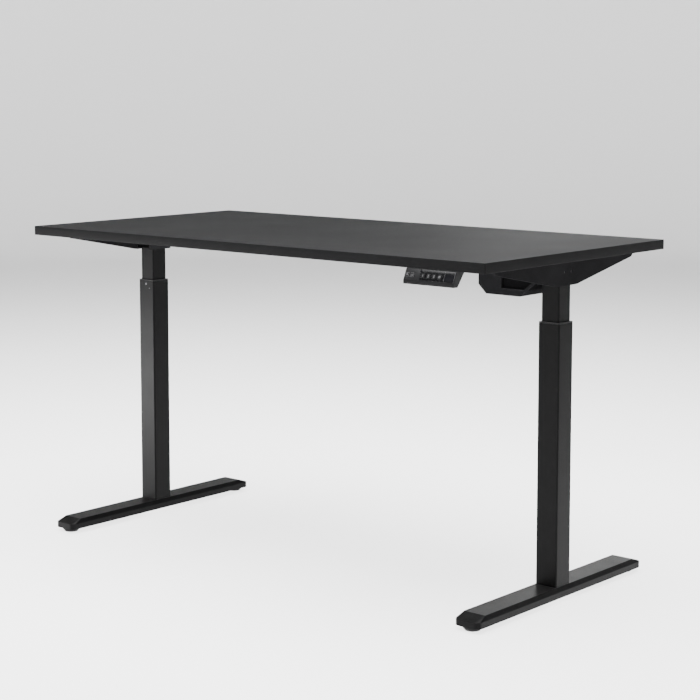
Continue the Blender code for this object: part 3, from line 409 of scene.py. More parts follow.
def loft(bm, rings, closed=False, matrix=None):
    """Adds a body through rings of equal count, capped or running round on itself."""
    rows = [[bm.verts.new(matrix @ p if matrix else p) for p in points] for points in rings]
    pairs = list(zip(rows, rows[1:]))
    faces = []
    if closed:
        pairs.append((rows[-1], rows[0]))
    else:
        faces += [bm.faces.new(rows[0]), bm.faces.new(rows[-1])]
    for low, high in pairs:
        for i in range(len(low)):
            j = (i + 1) % len(low)
            faces.append(bm.faces.new((low[i], low[j], high[j], high[i])))
    bmesh.ops.recalc_face_normals(bm, faces=faces)


def place_mesh(name, bm):
    """An object in the scene that holds what was built."""
    mesh = bpy.data.meshes.new(name)
    bm.to_mesh(mesh)
    bm.free()
    thing = bpy.data.objects.new(name, mesh)
    bpy.context.scene.collection.objects.link(thing)
    return thing


def piece(name, bm, material, body, smooth=35.0):
    """A finished piece of the desk that moves with a body."""
    thing = place_mesh(name, bm)
    thing.data.materials.append(material)
    smooth_below(thing, smooth)
    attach(thing, body)
    return thing


def smooth_below(thing, degrees):
    """Smooth shading, kept sharp where faces meet at more than an angle."""
    thing.data.shade_smooth()
    thing.data.set_sharp_from_angle(angle=math.radians(degrees))


def ease_edges(thing, width, segments=3, angle=30.0):
    """Merges the flat faces, rolls the sharp edges over and keeps the flats flat."""
    weld = thing.modifiers.new("weld", "WELD")
    weld.merge_threshold = 0.00001
    planar = thing.modifiers.new("planar", "DECIMATE")
    planar.decimate_type = "DISSOLVE"
    planar.angle_limit = math.radians(0.5)
    bevel = thing.modifiers.new("eased", "BEVEL")
    bevel.width = width
    bevel.segments = segments
    bevel.limit_method = "ANGLE"
    bevel.angle_limit = math.radians(angle)
    bevel.harden_normals = True
    thing.data.shade_smooth()
    normals = thing.modifiers.new("normals", "WEIGHTED_NORMAL")
    normals.weight = 80


def aim(place, direction):
    """A matrix that stands a shape, drawn up +Z, on a place and points it along a direction."""
    turn = Vector(direction).to_track_quat("Z", "Y").to_matrix().to_4x4()
    return Matrix.Translation(place) @ turn


def button_head(bm, matrix, radius, height, socket):
    """A domed screw head with a hexagon socket, drawn from its seat."""
    rings = [ring(circle(radius), 0.0), ring(circle(radius), height * 0.30)]
    for turn in (25, 50, 72):
        angle = math.radians(turn)
        rings.append(ring(circle(radius * (0.52 + 0.48 * math.cos(angle))),
                          height * (0.30 + 0.70 * math.sin(angle))))
    rings.append(ring(circle(radius * 0.60), height))
    rings.append(ring(hexagon(socket), height))
    rings.append(ring(hexagon(socket), height * 0.35))
    loft(bm, rings, matrix=matrix)


def cross_head(bm, matrix, radius, height):
    """A low pan head with a cross recess."""
    arm, waist = radius * 0.55, radius * 0.18
    recess = []
    for angle in turns(HEAD_STEPS):
        turn = (angle + math.pi / 4) % (math.pi / 2) - math.pi / 4
        reach = min(arm, waist / max(abs(math.sin(turn)), 0.05))
        recess.append((reach * math.cos(angle), reach * math.sin(angle)))
    small = [(x * 0.55, y * 0.55) for x, y in recess]
    rings = [ring(circle(radius), 0.0), ring(circle(radius), height * 0.35),
             ring(circle(radius * 0.93), height * 0.70), ring(circle(radius * 0.75), height * 0.94),
             ring(circle(radius * 0.62), height), ring(recess, height), ring(small, height * 0.3)]
    loft(bm, rings, matrix=matrix)


def hexagon_head(bm, matrix, across, height):
    """A bolt head on its washer, with the corners turned off."""
    washer = across * 0.75
    flat = hexagon(across)
    turned = []
    for x, y in flat:
        share = min(1.0, across * 0.53 / math.hypot(x, y))
        turned.append((x * share, y * share))
    rings = [ring(circle(washer), 0.0), ring(circle(washer), height * 0.16),
             ring(circle(across * 0.60), height * 0.20), ring(flat, height * 0.21),
             ring(flat, height * 0.88), ring(turned, height),
             ring(circle(across * 0.35), height)]
    loft(bm, rings, matrix=matrix)


def middle_of(node, axis, at, reach=0.006):
    """The middle of a lead's section near a place along an axis."""
    near = [v.co for v in NODES[node].data.vertices if abs(v.co[axis] - at) < reach]
    return sum(near, Vector()) / len(near)


def box_of(node):
    """A CAD node's lowest and highest corners."""
    low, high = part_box(node)
    return Vector(low), Vector(high)


def sizes():
    """The sizes that a user may change."""
    return bpy.context.scene.desk_sizes


def colours():
    """The colours that a user may change."""
    return bpy.context.scene.desk_colours


def shared(name, maker, *values):
    """A finish that several pieces have in common."""
    return bpy.data.materials.get(name) or maker(name, *values)


def coat():
    """The frame's powder coat."""
    return shared("powder_coat", powder_coat, colours().frame, 0.40)


def black_screw():
    return shared("blackened_screw", turned_steel, (0.055, 0.055, 0.058), 0.38)


def bright_screw():
    return shared("zinc_screw", turned_steel, (0.62, 0.62, 0.63), 0.30)


def dress(node, material):
    """Gives a CAD node its finish."""
    slots = NODES[node].data.materials
    slots.clear()
    slots.append(material)


# ---------------------------------------------------------------- sizes and colours

class DeskSizes(bpy.types.PropertyGroup):
    edge_radius: bpy.props.FloatProperty(
        name="Edge strip radius", description="Rounding along the worktop's edge strip",
        default=0.0007, min=0.0001, max=0.001, unit="LENGTH")
    fold_radius: bpy.props.FloatProperty(
        name="Steel edge radius", description="Rounding of cut and folded steel edges",
        default=0.0006, min=0.0001, max=0.002, unit="LENGTH")
    moulding_radius: bpy.props.FloatProperty(
        name="Moulding radius", description="Rounding of moulded plastic edges",
        default=0.0010, min=0.0001, max=0.003, unit="LENGTH")
    screw_radius: bpy.props.FloatProperty(
        name="Screw head radius", description="Radius of the small screw heads",
        default=0.0038, min=0.001, max=0.008, unit="LENGTH")
    clip_count: bpy.props.IntProperty(
        name="Lead clips", description="Clips that hold the handset lead under the worktop",
        default=5, min=1, max=5)
    mark_height: bpy.props.FloatProperty(
        name="Key mark height", description="Height of the marks on the keys",
        default=0.0046, min=0.001, max=0.008, unit="LENGTH")


class DeskColours(bpy.types.PropertyGroup):
    worktop: bpy.props.FloatVectorProperty(
        name="Worktop", description="Colour of the laminate", subtype="COLOR", size=3,
        default=(0.0038, 0.0038, 0.0040), min=0.0, max=1.0)
    edging: bpy.props.FloatVectorProperty(
        name="Edge strip", description="Colour of the edge strip", subtype="COLOR", size=3,
        default=(0.006, 0.006, 0.0063), min=0.0, max=1.0)
    frame: bpy.props.FloatVectorProperty(
        name="Frame", description="Colour of the powder coat", subtype="COLOR", size=3,
        default=(0.0022, 0.0022, 0.0023), min=0.0, max=1.0)
    plastic: bpy.props.FloatVectorProperty(
        name="Plastic", description="Colour of the moulded plastic pieces", subtype="COLOR", size=3,
        default=(0.005, 0.005, 0.0053), min=0.0, max=1.0)
    mark: bpy.props.FloatVectorProperty(
        name="Key marks", description="Colour of the marks on the keys", subtype="COLOR", size=3,
        default=(0.11, 0.11, 0.114), min=0.0, max=1.0)
    floor: bpy.props.FloatVectorProperty(
        name="Floor", description="Colour of the studio floor", subtype="COLOR", size=3,
        default=(0.92, 0.92, 0.92), min=0.0, max=1.0)


# ---------------------------------------------------------------- pieces

class DESK_OT_worktop(bpy.types.Operator):
    """Laminated top and its rounded edge strip"""
    bl_idname = "desk.worktop"
    bl_label = "Worktop"

    def execute(self, context):
        dress("desktop", laminate("black_laminate", colours().worktop, 0.60))
        low, high = box_of("edge_band")
        core_low, core_high = box_of("desktop")
        width, depth = high.x - low.x, high.y - low.y
        gap = (width - (core_high.x - core_low.x)) / 2
        strip = gap * 0.77              # the rest is the joint round the board
        radius, ease = 0.003, sizes().edge_radius
        steps = 4
        rings = []
        for level, sign in ((low.z, -1), (high.z, 1)):
            arcs = []
            for i in range(steps + 1):
                turn = i / steps * math.pi / 2
                inset = ease * (1 - math.sin(turn))
                lift = ease * (1 - math.cos(turn))
                outline = rounded(width - 2 * inset, depth - 2 * inset, radius - inset)
                arcs.append(ring(outline, level - sign * lift))
            rings += arcs if sign < 0 else arcs[::-1]
        inner = rounded(width - 2 * strip, depth - 2 * strip, radius - strip)
        rings += [ring(inner, high.z), ring(inner, low.z)]
        bm = bmesh.new()
        loft(bm, rings, closed=True)
        edging = laminate("black_edging", colours().edging, 0.55)
        band = piece("edge_strip", bm, edging, "lift")
        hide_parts("edge_band")
        return {"FINISHED"}


class DESK_OT_columns(bpy.types.Operator):
    """Telescopic columns, their guide collars and fixing screws"""
    bl_idname = "desk.columns"
    bl_label = "Columns"

    def execute(self, context):
        ease = sizes().fold_radius
        inner = powder_coat("inner_tube_coat", shade(colours().frame, 1.05), 0.40, 0.0)
        nylon = moulded("natural_nylon", (0.72, 0.70, 0.64), 0.42)
        collar = moulded("collar_plastic", colours().plastic, 0.50)
        dull = turned_steel("dulled_screw", (0.13, 0.13, 0.135), 0.45)
        for name, side in SIDES:
            dress(f"outer_tube_{name}", coat())
            dress(f"inner_tube_{name}", inner)
            dress(f"guide_collar_{name}", collar)
            dress(f"inner_slider_{name}", nylon)
            ease_edges(NODES[f"outer_tube_{name}"], ease * 0.6, 2)
            ease_edges(NODES[f"inner_tube_{name}"], ease * 0.5, 2)
            ease_edges(NODES[f"guide_collar_{name}"], ease * 0.8, 2)
            low, high = box_of(f"outer_tube_{name}")
            x = (low.x + high.x) / 2
            face = low.y if side < 0 else high.y
            out = (0, side, 0)
            finishes = (dull, black_screw())
            for index, (across, drop, radius) in enumerate(COLUMN_SCREWS):
                bm = bmesh.new()
                seat = aim((x + across * side, face, high.z - drop), out)
                cross_head(bm, seat, radius, radius * 0.45)
                piece(f"column_screw_{name}_{index + 1}", bm, finishes[index], "base")
        return {"FINISHED"}


class DESK_OT_feet(bpy.types.Operator):
    """T feet with their base plates and bolts"""
    bl_idname = "desk.feet"
    bl_label = "Feet"

    def execute(self, context):
        plate = turned_steel("zinc_plate", (0.58, 0.58, 0.57), 0.42, (300.0, 300.0, 300.0))
        for name, _ in SIDES:
            foot = f"foot_{name}"
            dress(foot, coat())
            ease_edges(NODES[foot], 0.0007, 2, FOOT_SLOPE_ANGLE)
            dress(f"base_plate_{name}", plate)
            ease_edges(NODES[f"base_plate_{name}"], 0.0006, 2)
            low, high = box_of(f"base_plate_{name}")
            middle = (low + high) / 2
            bm = bmesh.new()
            across, along = FOOT_BOLTS
            for x in (middle.x - across, middle.x + across):
                for y in (-along, along):
                    hexagon_head(bm, aim((x, y, low.z), DOWN), 0.010, 0.0055)
            piece(f"foot_bolts_{name}", bm, bright_screw(), "base")
        return {"FINISHED"}


class DESK_OT_glides(bpy.types.Operator):
    """Levelling glides: a moulded cup on a threaded stud"""
    bl_idname = "desk.glides"
    bl_label = "Levelling glides"

    def execute(self, context):
        cup = moulded("glide_plastic", shade(colours().plastic, 0.8), 0.48, specular=0.08)
        stud, pitch = 0.0039, 0.00125
        for end in ENDS:
            for name, _ in SIDES:
                node = f"levelling_glide_{end}_{name}"
                low, high = box_of(node)
                middle = (low + high) / 2
                outer = (high.x - low.x) / 2
                profile = [(outer * 0.70, 0.0), (outer * 0.765, 0.0003), (outer * 0.79, 0.0011),
                           (outer * 0.80, 0.0017), (outer * 0.83, 0.0020),
                           (outer * 0.955, 0.0056), (outer * 0.985, 0.0064),
                           (outer, 0.0073), (outer, 0.0082), (outer * 0.985, 0.0089),
                           (outer * 0.95, 0.0094), (stud * 1.6, 0.0095), (stud, 0.0098)]
                for i in range(int((high.z - 0.0120) / pitch)):
                    z = 0.0105 + i * pitch
                    profile += [(stud, z), (stud * 0.86, z + 0.0005)]
                profile += [(stud * 0.9, high.z - 0.0006), (stud * 0.7, high.z)]
                bm = bmesh.new()
                loft(bm, [ring(circle(radius, 48), z) for radius, z in profile],
                     matrix=Matrix.Translation((middle.x, middle.y, 0.0)))
                body = f"glide_{end}_{name}"
                glide = piece(body, bm, cup, body, 25.0)
                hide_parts(node)
        return {"FINISHED"}


class DESK_OT_brackets(bpy.types.Operator):
    """Side brackets, leg heads, crossbars and the screws that hold them"""
    bl_idname = "desk.brackets"
    bl_label = "Brackets and crossbars"

    def execute(self, context):
        ease = sizes().fold_radius
        # painted sheen: brackets, leg heads and crossbars get the frame's coat with no reflection
        # and a colour 5.4 times lighter, standing in for the sheen they would catch
        steel = powder_coat("bracket_coat_painted_sheen", shade(colours().frame, 5.4), 0.55, 0.0, 0.0)
        bolt = moulded("black_bolt", (0.006, 0.006, 0.006), 0.5)
        radius = sizes().screw_radius
        for name, side in SIDES:
            for node in ("side_bracket", "leg_head", "crossbar_front", "crossbar_rear"):
                dress(f"{node}_{name}", steel)
                width = ease if node == "side_bracket" else ease * 0.6
                ease_edges(NODES[f"{node}_{name}"], width, 2)
            low, high = box_of(f"side_bracket_{name}")
            outer = high.x if side > 0 else low.x
            panel = bmesh.new()
            for y in BRACKET_BOLTS:
                seat = (outer - side * SHEET * 1.1, y, high.z - BRACKET_BOLT_DROP)
                button_head(panel, aim(seat, (side, 0, 0)), 0.0026, 0.0016, 0.0022)
            piece(f"bracket_bolts_{name}", panel, bolt, "lift")

            flange = bmesh.new()
            head_top = box_of(f"leg_head_{name}")[1].z
            rows = ((abs(outer) - FLANGE_SCREW_INSET, FLANGE_SCREWS, high.z - SHEET),
                    (abs(outer) - HEAD_SCREW_INSET, HEAD_SCREWS, head_top - HEAD_PLATE))
            for reach, along, level in rows:
                for y in along:
                    seat = aim((side * reach, y, level), DOWN)
                    cross_head(flange, seat, radius, WORKTOP_SCREW_HEIGHT)
            piece(f"worktop_screws_{name}", flange, black_screw(), "lift")

            rails = bmesh.new()
            for end in ENDS:
                low, high = box_of(f"crossbar_{end}_{name}")
                root = high.x if side > 0 else low.x
                places = [root - side * inset for inset in CROSSBAR_ROOT_BOLTS]
                if side > 0:
                    places += [low.x + inset for inset in CROSSBAR_SLEEVE_BOLTS]
                for x in places:
                    seat = aim((x, (low.y + high.y) / 2, low.z), DOWN)
                    button_head(rails, seat, 0.0050, 0.0028, 0.0040)
            piece(f"crossbar_bolts_{name}", rails, black_screw(), "lift")
        return {"FINISHED"}


class DESK_OT_drive(bpy.types.Operator):
    """Spindles, gears, shaft, gearboxes and the motor"""
    bl_idname = "desk.drive"
    bl_label = "Drive"

    def execute(self, context):
        upright = turned_steel("turned_spindle", (0.60, 0.60, 0.61), 0.28, (60.0, 60.0, 900.0))
        drawn = turned_steel("drawn_shaft", (0.58, 0.58, 0.59), 0.33, (4.0, 900.0, 900.0))
        wheel = turned_steel("cut_gear", (0.56, 0.55, 0.53), 0.35, (700.0, 700.0, 700.0))
        casting = powder_coat("painted_casting", colours().frame, 0.60, 0.2, 0.0)
        nylon = moulded("gear_nylon", (0.74, 0.72, 0.66), 0.40)
        for name, _ in SIDES:
            dress(f"spindle_{name}", upright)
            dress(f"nut_tube_{name}", upright)
            dress(f"spindle_nut_{name}", nylon)
            dress(f"spindle_bevel_{name}", wheel)
            dress(f"shaft_bevel_{name}", wheel)
            dress(f"gearbox_{name}", casting)
            ease_edges(NODES[f"gearbox_{name}"], 0.0012)
        dress("hex_drive_shaft", drawn)
        ease_edges(NODES["hex_drive_shaft"], 0.0003, 2)
        dress("drive_gear", nylon)
        dress("motor_rotor", wheel)
        dress("motor_gearcase", casting)
        ease_edges(NODES["motor_gearcase"], 0.0012)
        dress("motor_can", powder_coat("motor_paint", (0.030, 0.030, 0.031), 0.40, 0.0))
        return {"FINISHED"}


class DESK_OT_motor_cover(bpy.types.Operator):
    """Motor cover with its recessed panels and screws"""
    bl_idname = "desk.motor_cover"
    bl_label = "Motor cover"

    def execute(self, context):
        dress("motor_cover", self.cover_plastic())
        ease_edges(NODES["motor_cover"], sizes().moulding_radius)
        low, high = box_of("motor_cover")
        bright, dark = bmesh.new(), bmesh.new()
        across, drop = COVER_FACE_SCREW
        x, z = low.x + across, high.z - drop
        cross_head(bright, aim((x, low.y, z), (0, -1, 0)), *COVER_SCREW)
        cross_head(dark, aim((x, high.y, z), (0, 1, 0)), *COVER_SCREW)
        left, right = COVER_BASE_SCREWS
        for x in (low.x + left, high.x - right):
            for y in (-COVER_BASE_SCREW_SPREAD, COVER_BASE_SCREW_SPREAD):
                cross_head(dark, aim((x, y, low.z), DOWN), *COVER_SCREW)
        piece("cover_screw_bright", bright, bright_screw(), "lift")
        piece("cover_screws", dark, black_screw(), "lift")
        return {"FINISHED"}

    def cover_plastic(self):
        """Grained plastic, with painted shade and a duller texture in the recessed panels."""
        finish = Finish("cover_plastic", 0.46, specular=0.0)
        colour = colours().plastic
        low, high = box_of("motor_cover")
        grain = finish.noise(0.0011, 3.0)
        skin = finish.math("ABSOLUTE", finish.part("Y")) > high.y - COVER_PANEL_DEPTH
        beyond = finish.part("X") > low.x + COVER_PANEL_START
        above = finish.part("Z") > low.z + COVER_PANEL_FLOOR
        # painted shade: the recessed panels are coloured darker to stand in for the shade inside
        # the recess
        panel = (1.0 - skin) * beyond * above
        cloud = finish.noise(0.03).ramp(0.3, 0.7)
        tone = finish.colours(cloud, shade(colour, 1.9), shade(colour, 2.2))
        tone = finish.colours(panel, tone, shade(colour, 0.90))
        finish.surface(tone, 0.42 + 0.12 * grain + 0.25 * panel)
        finish.relief(grain, 0.00006, 0.5)
        return finish.material


class DESK_OT_control_box(bpy.types.Operator):
    """Control box: ribbed case, lid ears, mains inlet and board"""
    bl_idname = "desk.control_box"
    bl_label = "Control box"

    def execute(self, context):
        plastic = moulded("box_plastic", colours().plastic, 0.52, 0.0010)
        dress("control_box_case", plastic)
        dress("control_box_lid", plastic)
        dress("mains_inlet", moulded("inlet_plastic", (0.012, 0.012, 0.013), 0.35, 0.0006))
        dress("control_board", circuit_board("control_lacquer", BOARD_GREEN, 0.35))
        ease_edges(NODES["control_box_case"], 0.0014)
        ease_edges(NODES["control_box_lid"], 0.0006, 2)
        ease_edges(NODES["mains_inlet"], 0.0004, 2)
        low, high = box_of("control_box_case")
        lid_low, lid_high = box_of("control_box_lid")
        middle = (low + high) / 2

        ribs = bmesh.new()
        foot, crest = rounded(0.0030, 0.058, 0.0014, 3), rounded(0.0022, 0.057, 0.0010, 3)
        for i in range(RIB_COUNT):
            x = middle.x + (i - RIB_COUNT // 2) * RIB_PITCH
            at = Matrix.Translation((x, middle.y, low.z - 0.0009))
            loft(ribs, [ring(foot, 0.0012), ring(foot, 0.0004), ring(crest, 0.0)], matrix=at)
        piece("control_box_ribs", ribs, plastic, "lift", 40.0)

        screws = bmesh.new()
        for x in ((lid_low.x + low.x) / 2, (lid_high.x + high.x) / 2):
            for y in (lid_low.y + LID_SCREW_INSET, lid_high.y - LID_SCREW_INSET):
                cross_head(screws, aim((x, y, lid_low.z), DOWN), sizes().screw_radius, 0.0020)
        for x in (low.x + CASE_SCREW_INSET, high.x - CASE_SCREW_INSET):
            for y in (low.y + CASE_SCREW_INSET, high.y - CASE_SCREW_INSET):
                cross_head(screws, aim((x, y, low.z), DOWN), 0.0027, 0.0012)
        piece("control_box_screws", screws, black_screw(), "lift")
        return {"FINISHED"}


def key_face():
    """Where the keypad's face starts, and its up and out directions."""
    low = box_of("keypad_case")[0]
    lean = Vector((0, *KEY_FACE_LEAN))
    up = lean.normalized()
    out = Vector((0, -up.z, up.y))
    return Vector((low.x, low.y, low.z + KEY_LIP)), up, out


def face_plane(along, up, out):
    """A matrix whose X runs along the keypad's face, Y up it and Z out of it."""
    foot, rise, outward = key_face()
    place = foot + Vector((along, 0, 0)) + rise * up + outward * out
    turn = Matrix((Vector((1, 0, 0)), rise, outward)).transposed().to_4x4()
    return Matrix.Translation(place) @ turn


def stroke(bm, points, width, thickness, matrix):
    """A flat ribbon along the points, mitred at its bends. It closes where its ends meet."""
    points = [Vector(p) for p in points]
    loop = (points[0] - points[-1]).length < 1e-6
    if loop:
        points = points[:-1]
    count = len(points)
    sides = []
    for i, point in enumerate(points):
        before = points[i - 1] if loop or i else None
        after = points[(i + 1) % count] if loop or i < count - 1 else None
        ways = [(point - before).normalized() if before is not None else None,
                (after - point).normalized() if after is not None else None]
        ways = [way for way in ways if way is not None]
        way = sum(ways, Vector((0, 0))).normalized()
        across = Vector((-way.y, way.x))
        reach = width / 2 / max(0.5, across.dot(Vector((-ways[0].y, ways[0].x))))
        sides.append((point + across * reach, point - across * reach))
    rings = [[Vector((*left, 0.0)), Vector((*right, 0.0)),
              Vector((*right, thickness)), Vector((*left, thickness))] for left, right in sides]
    loft(bm, rings, closed=loop, matrix=matrix)


def plate_with_holes(name, along, width, thickness, holes, material):
    """A thin plate on the keypad's face, cut round its keys and window."""
    height = PLATE_TOP - PLATE_BOTTOM
    outline = rounded(width, height, 0.0012)
    eased = rounded(width - thickness, height - thickness, 0.0012)
    middle = face_plane(along + width / 2, (PLATE_BOTTOM + PLATE_TOP) / 2, 0.0)
    bm = bmesh.new()
    loft(bm, [ring(outline, 0.0), ring(outline, thickness * 0.7), ring(eased, thickness)],
         matrix=middle)
    plate = piece(name, bm, material, "lift")
    for hole_along, hole_width, hole_height in holes:
        cutter = bmesh.new()
        outline = rounded(hole_width, hole_height, 0.0013)
        loft(cutter, [ring(outline, -0.001), ring(outline, 0.002)],
             matrix=face_plane(hole_along, KEY_ROW, 0.0))
        tool = place_mesh("cutter", cutter)
        cut = plate.modifiers.new("hole", "BOOLEAN")
        cut.operation = "DIFFERENCE"
        cut.object = tool
        bpy.context.view_layer.update()
        cleaned = plate.evaluated_get(bpy.context.evaluated_depsgraph_get())
        cleaned = bpy.data.meshes.new_from_object(cleaned)
        plate.modifiers.clear()
        plate.data = cleaned
        bpy.data.objects.remove(tool)
    smooth_below(plate, 30.0)


class DESK_OT_keypad(bpy.types.Operator):
    """Keypad: case, face plates, window and marked keys"""
    bl_idname = "desk.keypad"
    bl_label = "Keypad"

    def execute(self, context):
        self.housing()
        self.face_plates()
        self.keys()
        return {"FINISHED"}

    def housing(self):
        plastic = moulded("keypad_plastic", shade(colours().plastic, 1.1), 0.42, 0.0007)
        dress("keypad_case", plastic)
        dress("keypad_back", plastic)
        dress("keypad_board", circuit_board("keypad_lacquer", BOARD_GREEN, 0.35))
        dress("keypad_display", gloss("smoked_window", (0.006, 0.006, 0.007), 0.09))
        ease_edges(NODES["keypad_case"], sizes().moulding_radius * 0.9)

    def face_plates(self):
        """A matt plate round the move keys, a glossy film round the rest, and what is on it."""
        low, high = box_of("keypad_case")
        width = high.x - low.x
        holes = [(along, size + KEY_CLEARANCE, KEY_HEIGHT + KEY_CLEARANCE)
                 for _, along, size, _ in KEYS]
        window_low, window_high = box_of("keypad_display")
        window_middle = (window_low.x + window_high.x) / 2 - low.x
        window_width = window_high.x - window_low.x + 0.0004
        start, end = PLATE_DIVIDER - PLATE_GAP, PLATE_DIVIDER + PLATE_GAP
        plate_with_holes("keypad_move_plate", PLATE_MARGIN, start - PLATE_MARGIN, 0.00022,
                         holes[:2], moulded("move_plate", (0.009, 0.009, 0.0095), 0.42, 0.0006))
        plate_with_holes("keypad_preset_film", end, width - PLATE_MARGIN - end, 0.00016,
                         holes[2:] + [(window_middle, window_width, WINDOW_HEIGHT)],
                         gloss("face_film", (0.003, 0.003, 0.0034), 0.24))

        dot = bmesh.new()
        dome = ((0.0031, 0.0), (0.0031, 0.00034), (0.0025, 0.00042), (0.0023, 0.00026))
        loft(dot, [ring(circle(radius, 32), rise) for radius, rise in dome],
             matrix=face_plane(PLATE_DIVIDER + 0.0012, 0.0212, 0.0))
        lens = gloss("sensor_lens", (0.004, 0.004, 0.005), 0.12)
        piece("keypad_sensor", dot, lens, "lift")

        trims = bmesh.new()
        edges = (window_middle - window_width / 2 - 0.0008, width - PLATE_MARGIN - 0.0012)
        for along in edges:
            stroke(trims, ((0.0, -TRIM_REACH), (0.0, TRIM_REACH)), 0.00035, 0.00030,
                   face_plane(along, TRIM_MIDDLE, 0.0))
        grey = moulded("trim_grey", (0.11, 0.11, 0.115), 0.35)
        piece("keypad_trim_lines", trims, grey, "lift")

    def keys(self):
        cap = moulded("key_plastic", (0.0055, 0.0055, 0.0058), 0.44, 0.0005)
        mark = moulded("key_mark", colours().mark, 0.50, 0.0005)
        height = sizes().mark_height
        for name, along, size, mark_name in KEYS:
            dress(name, cap)
            ease_edges(NODES[name], 0.0004)
            bm = bmesh.new()
            plane = face_plane(along, KEY_ROW, KEY_PROUD - 0.00005)
            for points in MARKS[mark_name]:
                scaled = [(x * height, y * height) for x, y in points]
                stroke(bm, scaled, 0.00075, 0.00014, plane)
            if mark_name in ("up", "down"):
                half = size / 2 - 0.0011
                corners = ((-half, -half), (half, -half), (half, half), (-half, half))
                stroke(bm, (*corners, corners[0]), 0.00028, 0.00012, plane)
            piece(f"{name}_mark", bm, mark, name)


class DESK_OT_leads(bpy.types.Operator):
    """Handset and motor leads with their clips"""
    bl_idname = "desk.leads"
    bl_label = "Leads and clips"

    def execute(self, context):
        rubber = jacket("lead_jacket", (0.013, 0.013, 0.014), 0.45)
        for node in ("handset_lead", "motor_lead"):
            dress(node, rubber)
            smooth_below(NODES[node], 50.0)
        under = box_of("desktop")[0].z
        front = box_of("handset_lead")[0].y
        places = [front + along for along in CLIPS_FROM_FRONT] + list(CLIPS_AT_MIDDLE)
        clips = bmesh.new()
        for y in places[:sizes().clip_count]:
            before, middle, after = (
                middle_of("handset_lead", 1, at) for at in (y - CLIP_SPAN, y, y + CLIP_SPAN))
            ahead = after - before
            ahead.z = 0.0
            self.clip(clips, middle, ahead.normalized(), under)
        plastic = moulded("clip_plastic", shade(colours().plastic, 1.3), 0.45)
        piece("lead_clips", clips, plastic, "lift")
        return {"FINISHED"}

    def clip(self, bm, middle, ahead, under):
        """A saddle over the lead with a flat foot on each side."""
        half, bore, wall, foot, rim = 0.0032, 0.0024, 0.0011, 0.0052, 0.0003
        level = under - rim - middle.z
        edge = bore + wall
        tip = edge + foot
        arch = [(math.cos(angle), -math.sin(angle))
                for angle in (math.radians(step) for step in range(0, 181, 15))]
        outline = [(tip, level), (tip, level - wall), (edge, level - wall)]
        outline += [(edge * x, edge * y) for x, y in arch]
        outline += [(-edge, level - wall), (-tip, level - wall), (-tip, level), (-bore, level)]
        outline += [(bore * x, bore * y) for x, y in reversed(arch)]
        outline += [(bore, level)]
        side = Vector((-ahead.y, ahead.x, 0.0))
        loft(bm, [[middle + ahead * at + side * u + Vector((0, 0, v)) for u, v in outline]
                  for at in (-half, half)])


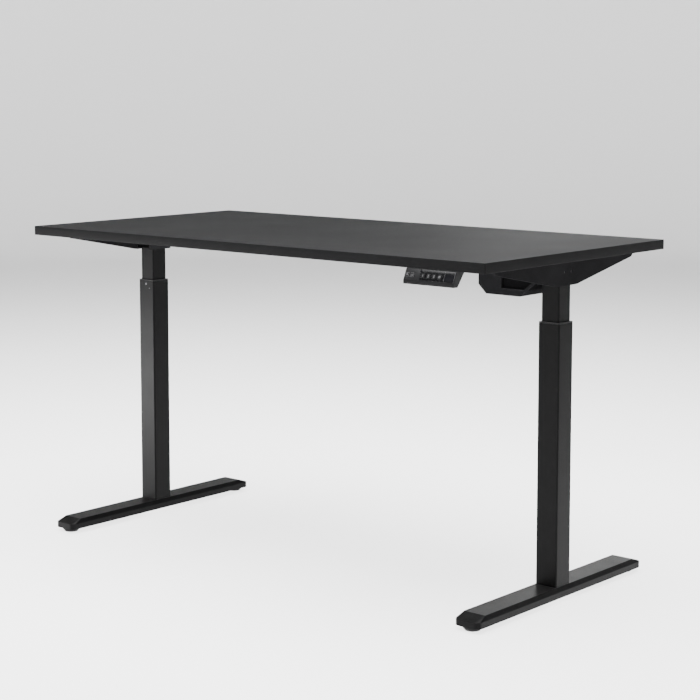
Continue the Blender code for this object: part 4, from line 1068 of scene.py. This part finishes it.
class DESK_OT_stage(bpy.types.Operator):
    """Floor, soft lights and the camera"""
    bl_idname = "desk.stage"
    bl_label = "Studio"

    def execute(self, context):
        self.floor()
        self.lights()
        self.camera()
        return {"FINISHED"}

    def floor(self):
        """A round sheet of paper on the floor that curves up all round the desk."""
        bm = bmesh.new()
        around, steps, flat, curve, top = 96, 14, 7.0, 1.6, 2.3
        profile = [(flat * i / 6, 0.0) for i in range(1, 7)]
        for i in range(1, steps + 1):
            angle = i / steps * math.pi / 2
            profile.append((flat + curve * math.sin(angle), curve * (1 - math.cos(angle))))
        profile.append((flat + curve, top))
        below = 0.0005                  # so the glides' soles don't lie in the floor's own plane
        rows = [[bm.verts.new((x, y, height - below)) for x, y in circle(reach, around)]
                for reach, height in profile]
        bm.faces.new(rows[0])
        for low, high in zip(rows, rows[1:]):
            for i in range(around):
                j = (i + 1) % around
                bm.faces.new((low[i], high[i], high[j], low[j]))
        floor = place_mesh("studio_floor", bm)
        floor.data.materials.append(studio_paper("studio_paper", colours().floor))
        floor.data.shade_smooth()

    def lights(self):
        """One overhead panel, two panels that only show in reflections, and a shadowless globe."""
        scene = bpy.context.scene
        scene.world = scene.world or bpy.data.worlds.new("studio")
        scene.world.use_nodes = True
        back = scene.world.node_tree.nodes["Background"]
        back.inputs["Color"].default_value = (0.95, 0.97, 1.0, 1.0)
        back.inputs["Strength"].default_value = 0.06
        for name, place, target, size, power in PANELS:
            data = bpy.data.lights.new(name, "AREA")
            data.shape = "RECTANGLE"
            data.size, data.size_y = size
            lamp = self.lamp(data, place, power)
            lamp.visible_diffuse = name == "overhead"
            way = Vector(target) - Vector(place)
            lamp.rotation_euler = way.to_track_quat("-Z", "Y").to_euler()
        data = bpy.data.lights.new("globe", "POINT")
        data.shadow_soft_size = 1.1
        data.use_shadow = False
        self.lamp(data, (0.0, -0.4, 4.2), 2400.0)

    def lamp(self, data, place, power):
        """A light that the camera doesn't see."""
        data.energy = power
        lamp = bpy.data.objects.new(data.name, data)
        lamp.location = place
        lamp.visible_camera = False
        bpy.context.scene.collection.objects.link(lamp)
        return lamp

    def camera(self):
        data = bpy.data.cameras.new("camera")
        data.sensor_width = 36.0
        data.lens = 92.1
        data.shift_y = -0.12
        camera = bpy.data.objects.new("camera", data)
        camera.location = (2.8153, -3.2548, 1.1571)
        camera.rotation_euler = (math.pi / 2 - 0.1057, 0.0, 0.7051)
        bpy.context.scene.collection.objects.link(camera)
        bpy.context.scene.camera = camera


class DESK_PT_panel(bpy.types.Panel):
    """The desk's pieces and sizes"""
    bl_idname = "DESK_PT_panel"
    bl_label = "Height adjustable desk"
    bl_space_type = "VIEW_3D"
    bl_region_type = "UI"
    bl_category = "Desk"

    def draw(self, context):
        for group in (context.scene.desk_sizes, context.scene.desk_colours):
            for name in group.__annotations__:
                self.layout.prop(group, name)
        for operator in OPERATORS:
            self.layout.operator(operator.bl_idname)


OPERATORS = (
    DESK_OT_stage,
    DESK_OT_worktop,
    DESK_OT_columns,
    DESK_OT_feet,
    DESK_OT_glides,
    DESK_OT_brackets,
    DESK_OT_drive,
    DESK_OT_motor_cover,
    DESK_OT_control_box,
    DESK_OT_keypad,
    DESK_OT_leads,
)
CLASSES = (DeskSizes, DeskColours, *OPERATORS, DESK_PT_panel)


def register():
    for cls in CLASSES:
        bpy.utils.register_class(cls)
    bpy.types.Scene.desk_sizes = bpy.props.PointerProperty(type=DeskSizes)
    bpy.types.Scene.desk_colours = bpy.props.PointerProperty(type=DeskColours)


def unregister():
    del bpy.types.Scene.desk_colours
    del bpy.types.Scene.desk_sizes
    for cls in reversed(CLASSES):
        bpy.utils.unregister_class(cls)


def main():
    """Builds the desk and the studio."""
    register()
    bpy.ops.desk.stage()
    bpy.ops.desk.worktop()
    bpy.ops.desk.columns()
    bpy.ops.desk.feet()
    bpy.ops.desk.glides()
    bpy.ops.desk.brackets()
    bpy.ops.desk.drive()
    bpy.ops.desk.motor_cover()
    bpy.ops.desk.control_box()
    bpy.ops.desk.keypad()
    bpy.ops.desk.leads()


if __name__ == "__main__":
    main()
